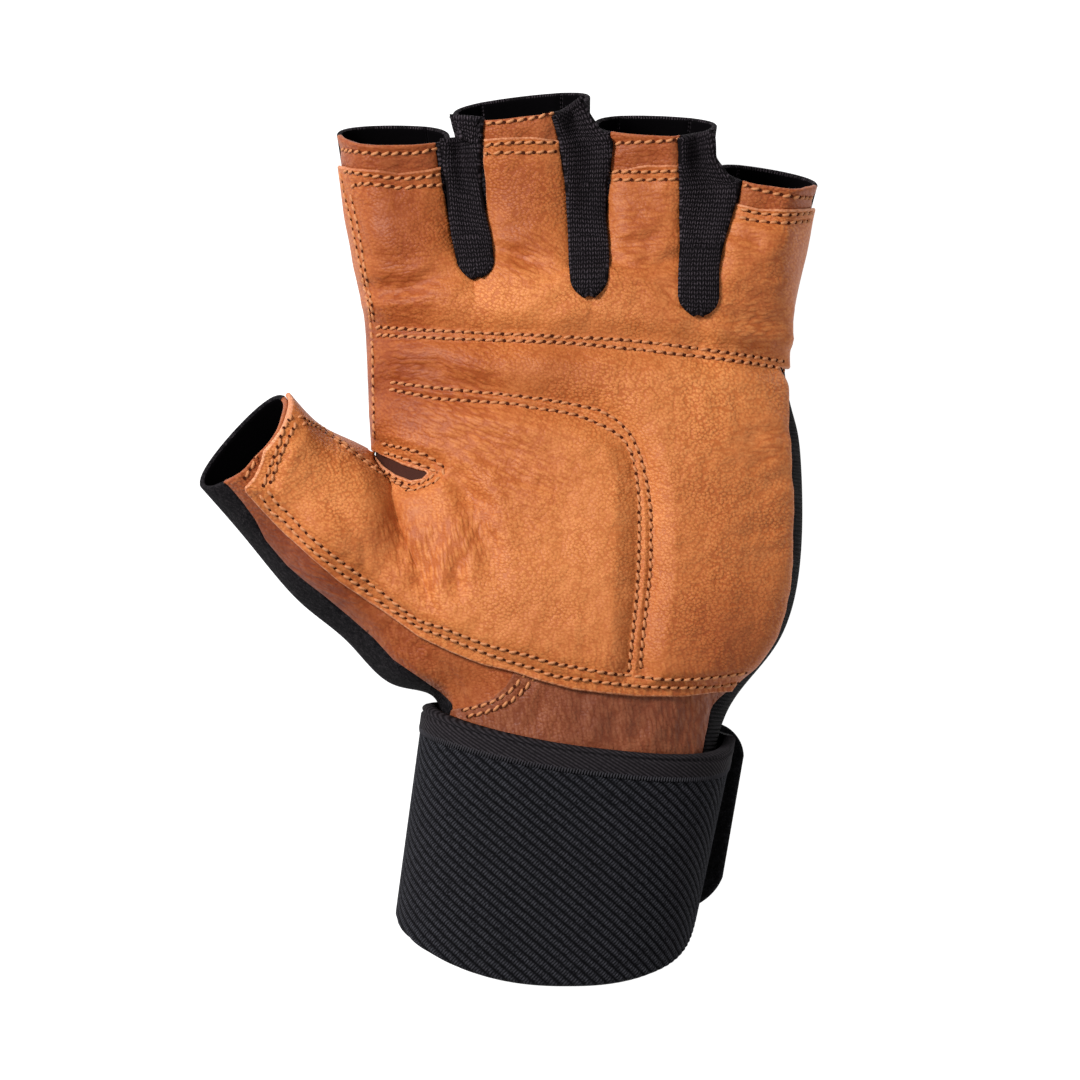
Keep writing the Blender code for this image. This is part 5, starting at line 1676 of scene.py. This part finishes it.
def closure_tab(paints):
    """The stiff hook tab, with a rounded rim and a felted outer edge."""
    right = WRIST_WIDTH / 2.0 + WRAP_CLEARANCE + WRAP_THICKNESS + TAB_OVERHANG
    left = right - TAB_WIDTH
    middle = TAB_TOP - TAB_HEIGHT / 2.0
    bend = WRIST_WIDTH / 2.0 * TAB_BEND
    columns, rows = TAB_FINE_COLUMNS, TAB_FINE_ROWS
    points, quads = [], []
    for i in range(columns + 1):
        t = 0.5 - 0.5 * math.cos(math.pi * (TAB_END + (1.0 - 2.0 * TAB_END) * i / columns))
        x = left + t * (right - left)
        half = tab_half_height(x, left, right)
        rise = TAB_RISE * max(0.0, (x - bend) / (right - bend)) ** TAB_BEND_POWER
        for j in range(rows + 1):
            y = middle - half + 2.0 * half * j / rows
            points.append((x + wrist_middle(y), y, TAB_THICKNESS / 2.0 + rise))
    for i in range(columns):
        for j in range(rows):
            a = i * (rows + 1) + j
            quads.append((a, a + rows + 1, a + rows + 2, a + 1))
    points, quads = np.array(points), np.array(quads)
    wall = shell(points, vertex_normals(points, quads), quads, TAB_SIDE, -TAB_SIDE, nose=TAB_NOSE)
    add_piece("closure_tab_hook", wall[0], wall[1], (paints["hook"], paints["tape"]), "black_hook",
              finish=wall[2], replaces=("closure_tab",))


# Materials


class Graph:
    """Short hand for a material's nodes."""

    def __init__(self, name):
        self.material = bpy.data.materials.new(name)
        self.material.use_nodes = True
        self.tree = self.material.node_tree
        self.shader = self.tree.nodes["Principled BSDF"]
        self.place = self.node("ShaderNodeTexCoord").outputs["Object"]

    def node(self, kind, inputs=None, **settings):
        made = self.tree.nodes.new(kind)
        for key, value in settings.items():
            setattr(made, key, value)
        for key, value in (inputs or {}).items():
            self.feed(made.inputs[key], value)
        return made

    def feed(self, socket, value):
        if isinstance(value, bpy.types.NodeSocket):
            self.tree.links.new(value, socket)
        else:
            socket.default_value = value

    def cloth(self):
        """How far a place is across and along the cloth."""
        place = self.node("ShaderNodeUVMap", uv_map="cloth").outputs[0]
        return self.node("ShaderNodeSeparateXYZ", {0: place}).outputs

    def math(self, operation, a, b=0.0):
        return self.node("ShaderNodeMath", {0: a, 1: b}, operation=operation).outputs[0]

    def times(self, a, b):
        return self.math("MULTIPLY", a, b)

    def plus(self, a, b):
        return self.math("ADD", a, b)

    def vector(self, operation, inputs):
        return self.node("ShaderNodeVectorMath", inputs, operation=operation).outputs[0]

    def mix(self, factor, a, b, blend="MIX"):
        made = self.node("ShaderNodeMix", data_type="RGBA", blend_type=blend)
        self.feed(made.inputs["Factor"], factor)
        for key, colour in ((6, a), (7, b)):
            self.feed(made.inputs[key], (*colour, 1.0) if isinstance(colour, tuple) else colour)
        return made.outputs[2]

    def noise(self, scale, detail, roughness):
        inputs = {"Vector": self.place, "Scale": scale, "Detail": detail, "Roughness": roughness}
        return self.node("ShaderNodeTexNoise", inputs).outputs[0]

    def ramp(self, factor, source, target=(0.0, 1.0)):
        """The factor, taken from the source's range to the target's."""
        inputs = {"Value": factor, "From Min": source[0], "From Max": source[1]}
        inputs |= {"To Min": target[0], "To Max": target[1]}
        return self.node("ShaderNodeMapRange", inputs).outputs[0]

    def bump(self, height, distance, strength, below=None):
        inputs = {"Height": height, "Distance": distance, "Strength": strength}
        if below is not None:
            inputs["Normal"] = below
        return self.node("ShaderNodeBump", inputs).outputs[0]

    def finish(self, colour, roughness, specular, normal=None):
        self.feed(self.shader.inputs["Base Color"], colour)
        self.feed(self.shader.inputs["Roughness"], roughness)
        self.shader.inputs["Specular IOR Level"].default_value = specular
        if normal is not None:
            self.feed(self.shader.inputs["Normal"], normal)
        return self.material


def leather(name, colour, dark, pale):
    """Grained leather: pebbles under a millimetre wide, drawn out into wrinkles where it is worn, with
    painted shade in their pits and grooves and painted light on their crowns.
    """
    g = Graph(name)
    wobble = g.node("ShaderNodeTexNoise", {"Vector": g.place, "Scale": 420.0, "Detail": 2.0}).outputs[1]
    near = g.vector("SCALE", {0: g.vector("SUBTRACT", {0: wobble, 1: (0.5, 0.5, 0.5)}), "Scale": 0.0005})
    bent = g.vector("ADD", {0: g.place, 1: near})

    def cells(way):
        angle, along, across = way
        size = (along, across, CELL_HEIGHT)
        inputs = {"Vector": bent, "Rotation": (0.0, 0.0, math.radians(angle)), "Scale": size}
        turned = g.node("ShaderNodeMapping", inputs, vector_type="TEXTURE").outputs[0]
        gap = g.node("ShaderNodeTexVoronoi", {"Vector": turned, "Scale": 1.0}, feature="F1").outputs[0]
        return g.math("MINIMUM", g.times(gap, gap), PIT_DEPTH)

    broad = g.noise(scale=38.0, detail=3.0, roughness=0.6)
    spots = g.noise(scale=170.0, detail=4.0, roughness=0.6)
    patches = g.noise(scale=75.0, detail=2.0, roughness=0.5)
    fine = g.noise(scale=2100.0, detail=2.0, roughness=0.6)
    # The tone attribute: partly the leather's own tone, partly painted light and shade
    tone_and_light = g.node("ShaderNodeAttribute", attribute_name="tone_and_light").outputs["Fac"]
    wrinkled = g.node("ShaderNodeAttribute", attribute_name="wrinkled").outputs["Vector"]
    wrinkled = g.node("ShaderNodeSeparateXYZ", {0: wrinkled})

    pits = g.times(cells(PEBBLE_WAY), g.ramp(patches, (0.3, 0.7), (0.45, 1.0)))
    for family, way in enumerate(WRINKLE_WAYS):
        share = g.math("MINIMUM", wrinkled.outputs[family], 1.0)
        pits = g.times(pits, g.math("SUBTRACT", 1.0, g.times(share, 0.6)))
        pits = g.plus(pits, g.times(cells(way), share))

    shade = g.mix(g.ramp(broad, (0.32, 0.70)), dark, colour)
    shade = g.mix(g.ramp(spots, (0.48, 0.85), (0.0, 0.4)), shade, pale)
    # level: painted shade in the pebbles' pits and the wrinkles' grooves, painted light on their crowns
    level = g.ramp(pits, (0.0, PIT_DEPTH), (1.16, 0.72))
    level = g.times(level, g.ramp(fine, (0.3, 0.7), (0.94, 1.06)))
    tinted = []
    for grain_shade_power, tone_and_light_power in zip(GRAIN_SHADE_POWERS, TONE_AND_LIGHT_POWERS):
        tinted.append(g.times(g.math("POWER", level, grain_shade_power), g.math("POWER", tone_and_light, tone_and_light_power)))
    tint = g.node("ShaderNodeCombineXYZ", dict(enumerate(tinted))).outputs[0]
    shade = g.mix(1.0, shade, tint, "MULTIPLY")
    bump = g.bump(g.times(pits, -1.0), distance=0.00028, strength=1.0)
    bump = g.bump(fine, distance=0.00004, strength=0.8, below=bump)
    return g.finish(shade, g.ramp(spots, (0.3, 0.8), (0.48, 0.62)), 0.22, bump)


def knit(name, colour, highlight_and_fleck, across=0.0013, along=0.0011):
    """Knitted cloth of small loops, across and along apart in metres. The loops' crowns are painted lighter,
    partly lighter fibres and partly painted highlight, with painted shade between them.
    """
    g = Graph(name)
    parts = g.cloth()
    u = g.times(parts[0], 1.0 / across)
    v = g.times(parts[1], 1.0 / along)
    arm = g.math("ABSOLUTE", g.math("SUBTRACT", g.math("FRACT", u), 0.5))
    loop = g.math("FRACT", g.plus(v, g.times(arm, 1.1)))
    halves = g.math("FRACT", g.times(u, 2.0))
    height = g.times(g.math("SINE", g.times(loop, math.pi)), g.math("SINE", g.times(halves, math.pi)))
    fuzz = g.noise(scale=2600.0, detail=3.0, roughness=0.7)
    broad = g.noise(scale=120.0, detail=2.0, roughness=0.5)
    lit = g.times(height, g.ramp(fuzz, (0.25, 0.75)))
    shade = g.mix(g.ramp(lit, (0.12, 0.75)), colour, highlight_and_fleck)
    shade = g.mix(g.ramp(broad, (0.3, 0.7), (0.0, 0.4)), shade, colour)
    bump = g.bump(height, distance=0.0003, strength=1.0)
    bump = g.bump(fuzz, distance=0.00012, strength=0.8, below=bump)
    return g.finish(shade, 0.9, 0.06, bump)


def fleece(name, colour, highlight_and_fleck):
    """Brushed cloth of short tufts, painted lighter where they stand up: partly lighter fibres, partly
    painted highlight.
    """
    g = Graph(name)
    tufts = g.noise(scale=900.0, detail=4.0, roughness=0.75)
    hairs = g.noise(scale=3200.0, detail=3.0, roughness=0.8)
    shade = g.mix(g.ramp(g.times(tufts, hairs), (0.22, 0.42)), colour, highlight_and_fleck)
    bump = g.bump(tufts, distance=0.0006, strength=1.0)
    bump = g.bump(hairs, distance=0.0002, strength=1.0, below=bump)
    return g.finish(shade, 0.95, 0.06, bump)


def ribbed(name, colour, highlight_and_fleck, pitch=0.001, thread=0.0009):
    """Cloth with ribs across, pitch apart, of threads of the given width. The crowns of ribs and threads are
    painted lighter, partly lighter fibres and partly painted highlight, with painted shade between them.
    """
    g = Graph(name)
    parts = g.cloth()
    height = g.math("ABSOLUTE", g.math("SINE", g.times(parts[1], math.pi / pitch)))
    u = g.math("FRACT", g.times(parts[0], 1.0 / thread))
    threads = g.math("SINE", g.times(u, math.pi))
    fuzz = g.noise(scale=2400.0, detail=3.0, roughness=0.7)
    lit = g.times(height, g.times(threads, g.ramp(fuzz, (0.2, 0.8))))
    shade = g.mix(g.ramp(lit, (0.1, 0.8)), colour, highlight_and_fleck)
    bump = g.bump(height, distance=0.0004, strength=1.0)
    bump = g.bump(g.times(threads, height), distance=0.00015, strength=0.8, below=bump)
    return g.finish(shade, 0.88, 0.06, bump)


def elastic(name, colour, highlight_and_fleck):
    """Ribbed elastic: cords of small beads run down to the right. The grooves between the cords get painted
    shade and the beads painted highlights, mixed with lighter fibres.
    """
    g = Graph(name)
    u, v = g.cloth()[:2]
    whole = wrap_angles(WRAP_COLUMNS)[2]
    turns = g.times(u, math.pi * RIBS_AROUND / whole)
    rises = g.times(v, -math.pi / (math.sqrt(2.0) * WRAP_RIB_PITCH))
    cords = g.math("POWER", g.math("ABSOLUTE", g.math("COSINE", g.plus(turns, rises))), 0.8)
    along = g.times(g.plus(g.times(u, BEAD_SLANT), v), math.pi / BEAD_PITCH)
    beads = g.math("ABSOLUTE", g.math("SINE", along))
    fuzz = g.noise(scale=1700.0, detail=3.0, roughness=0.7)
    lit = g.times(g.ramp(beads, (0.0, 1.0), (0.10, 1.05)), g.ramp(fuzz, (0.30, 0.70), (0.15, 1.3)))
    shade = g.mix(g.ramp(g.times(lit, cords), (0.15, 0.80)), colour, highlight_and_fleck)
    bump = g.bump(cords, distance=0.00022, strength=0.9)
    bump = g.bump(g.times(beads, cords), distance=0.00022, strength=0.9, below=bump)
    bump = g.bump(fuzz, distance=0.00010, strength=0.8, below=bump)
    return g.finish(shade, 0.82, 0.06, bump)


def tape(name, colour, highlight_and_fleck):
    """Woven tape with fine lines that run down to the right, painted lighter on their crowns: partly lighter
    fibres, partly painted highlight.
    """
    g = Graph(name)
    parts = g.cloth()
    rises = g.times(parts[1], -TAPE_LINES * math.cos(TAPE_SLANT))
    turns = g.times(parts[0], TAPE_LINES * math.sin(TAPE_SLANT))
    height = g.ramp(g.math("SINE", g.times(g.plus(turns, rises), 2.0 * math.pi)), (-1.0, 1.0))
    fuzz = g.noise(scale=1900.0, detail=3.0, roughness=0.7)
    shade = g.mix(g.times(height, g.ramp(fuzz, (0.3, 0.7), (0.2, 1.2))), colour, highlight_and_fleck)
    bump = g.bump(height, distance=0.00012, strength=0.9)
    bump = g.bump(fuzz, distance=0.00010, strength=0.8, below=bump)
    return g.finish(shade, 0.85, 0.06, bump)


def plain(name, colour, roughness, scale, specular=0.3):
    """Thread, lining and other small or hidden surfaces, unevenly dark."""
    g = Graph(name)
    fine = g.noise(scale=scale, detail=3.0, roughness=0.7)
    shade = g.mix(fine, tuple(c * 0.72 for c in colour), colour)
    return g.finish(shade, roughness, specular, g.bump(fine, distance=0.0001, strength=0.8))


def make_paints():
    return {
        "leather": leather("tan_leather", (0.33, 0.083, 0.021), (0.25, 0.057, 0.014), (0.44, 0.145, 0.048)),
        "overlay": leather("tan_leather_overlay", (0.525, 0.167, 0.044), (0.44, 0.128, 0.032),
                           (0.66, 0.24, 0.080)),
        # The overlay's rims: the cut edge's own paler colour together with a painted highlight along it
        "edge": leather("cut_leather_edge_and_highlight", (0.60, 0.25, 0.12), (0.50, 0.18, 0.08), (0.72, 0.36, 0.20)),
        "brown": leather("brown_leather", (0.235, 0.066, 0.024), (0.155, 0.041, 0.016), (0.33, 0.108, 0.045)),
        # Painted shade for the slit
        "slit_shade": plain("slit_painted_shade", (0.056, 0.018, 0.012), 0.8, 420.0, 0.1),
        "knit": knit("black_knit", (0.0042, 0.0032, 0.0040), (0.085, 0.068, 0.080)),
        "fleece": fleece("black_fleece", (0.004, 0.0035, 0.0045), (0.040, 0.034, 0.038)),
        "rib": ribbed("black_rib", (0.004, 0.0035, 0.004), (0.028, 0.024, 0.027)),
        "elastic": elastic("black_elastic", (0.0036, 0.0036, 0.0047), (0.037, 0.037, 0.044)),
        "tape": tape("black_tape", (0.005, 0.0042, 0.005), (0.036, 0.031, 0.035)),
        "hook": fleece("black_hook", (0.0035, 0.0035, 0.004), (0.022, 0.021, 0.024)),
        "lining": plain("black_lining", (0.0035, 0.0030, 0.0035), 0.95, 900.0, 0.0),
        "thread": plain("tan_thread", (0.56, 0.22, 0.085), 0.6, 3000.0),
        "seam": plain("black_thread", (0.042, 0.040, 0.046), 0.8, 3000.0, 0.05),
        # Painted shade in the needle holes
        "hole_shade": plain("needle_hole_shade", (0.060, 0.014, 0.007), 0.9, 1500.0, 0.0),
    }


# Floor, light and camera


def studio():
    mesh = bpy.data.meshes.new("floor")
    corners = [(x * FLOOR_HALF, y * FLOOR_HALF, -FLOOR_DROP) for x, y in ((-1, -1), (1, -1), (1, 1), (-1, 1))]
    mesh.from_pydata(corners, [], [(0, 1, 2, 3)])
    floor = bpy.data.objects.new("floor", mesh)
    paint = Graph("pale_floor")
    paint.shader.inputs["Emission Color"].default_value = (1.0, 1.0, 1.0, 1.0)
    paint.shader.inputs["Emission Strength"].default_value = FLOOR_GLOW
    mesh.materials.append(paint.finish((0.30, 0.30, 0.30, 1.0), 0.9, 0.0))
    bpy.context.scene.collection.objects.link(floor)

    world = bpy.data.worlds.new("studio")
    world.use_nodes = True
    background = world.node_tree.nodes["Background"]
    background.inputs["Color"].default_value = (1.0, 1.0, 1.0, 1.0)
    background.inputs["Strength"].default_value = WORLD_STRENGTH
    bpy.context.scene.world = world
    for name, place, size, power in LAMPS:
        light = bpy.data.lights.new(name, "AREA")
        light.energy = power
        light.size = size
        lamp = bpy.data.objects.new(name, light)
        lamp.location = place
        lamp.rotation_mode = "QUATERNION"
        lamp.rotation_quaternion = (-Vector(place)).to_track_quat("-Z", "Y")
        lamp.visible_camera = False
        bpy.context.scene.collection.objects.link(lamp)


def camera():
    """Far above the palm, so that all heights show at nearly the photograph's scale."""
    data = bpy.data.cameras.new("camera")
    data.lens = LENS
    data.sensor_width = SENSOR
    data.clip_end = 100.0
    eye = bpy.data.objects.new("camera", data)
    middle = from_photo([PHOTO_MIDDLE])[0]
    height = PALM_DEPTH * SHARP_HEIGHT + PHOTO_SIDE * LENS / SENSOR
    eye.location = (middle[0] + PLACE.x, middle[1] + PLACE.y, height)
    bpy.context.scene.collection.objects.link(eye)
    bpy.context.scene.camera = eye
    bpy.context.scene.view_settings.view_transform = "Standard"


def surface_tree(pieces):
    """The pieces' faces in the design's place, for laying stitches on them."""
    points, faces, start = [], [], 0
    for piece in pieces:
        points += [v.co - PLACE for v in piece.data.vertices]
        faces += [[i + start for i in polygon.vertices] for polygon in piece.data.polygons]
        start = len(points)
    return BVHTree.FromPolygons(points, faces)


def main():
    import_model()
    paints = make_paints()
    skin = Skin(*fitted_cage())
    pieces = leather_pieces(skin, paints)
    knit_pieces(skin, paints)
    wrist_wrap(paints)
    closure_tab(paints)
    tree = surface_tree(pieces)
    for fingers, rows in (("index_middle", STRIP_1), ("middle_ring", STRIP_2), ("ring_little", STRIP_3)):
        knit_strip("knit_strip_" + fingers, rows, tree, paints["knit"])
    knit_strip("knit_flap_middle", FLAP, tree, paints["knit"], lift=FLAP_LIFT, sag=0.0, end=False)
    for name, rows, slot in (
        ("palm_stitching", EDGE_ROWS + TOP_ROWS, "tan_leather"),
        ("hem_stitching", HEM_ROWS, "tan_leather"),
        ("cuff_stitching", CUFF_ROWS, "brown_leather"),
    ):
        stitching(name, tree, rows, paints, slot)
    studio()
    camera()


main()
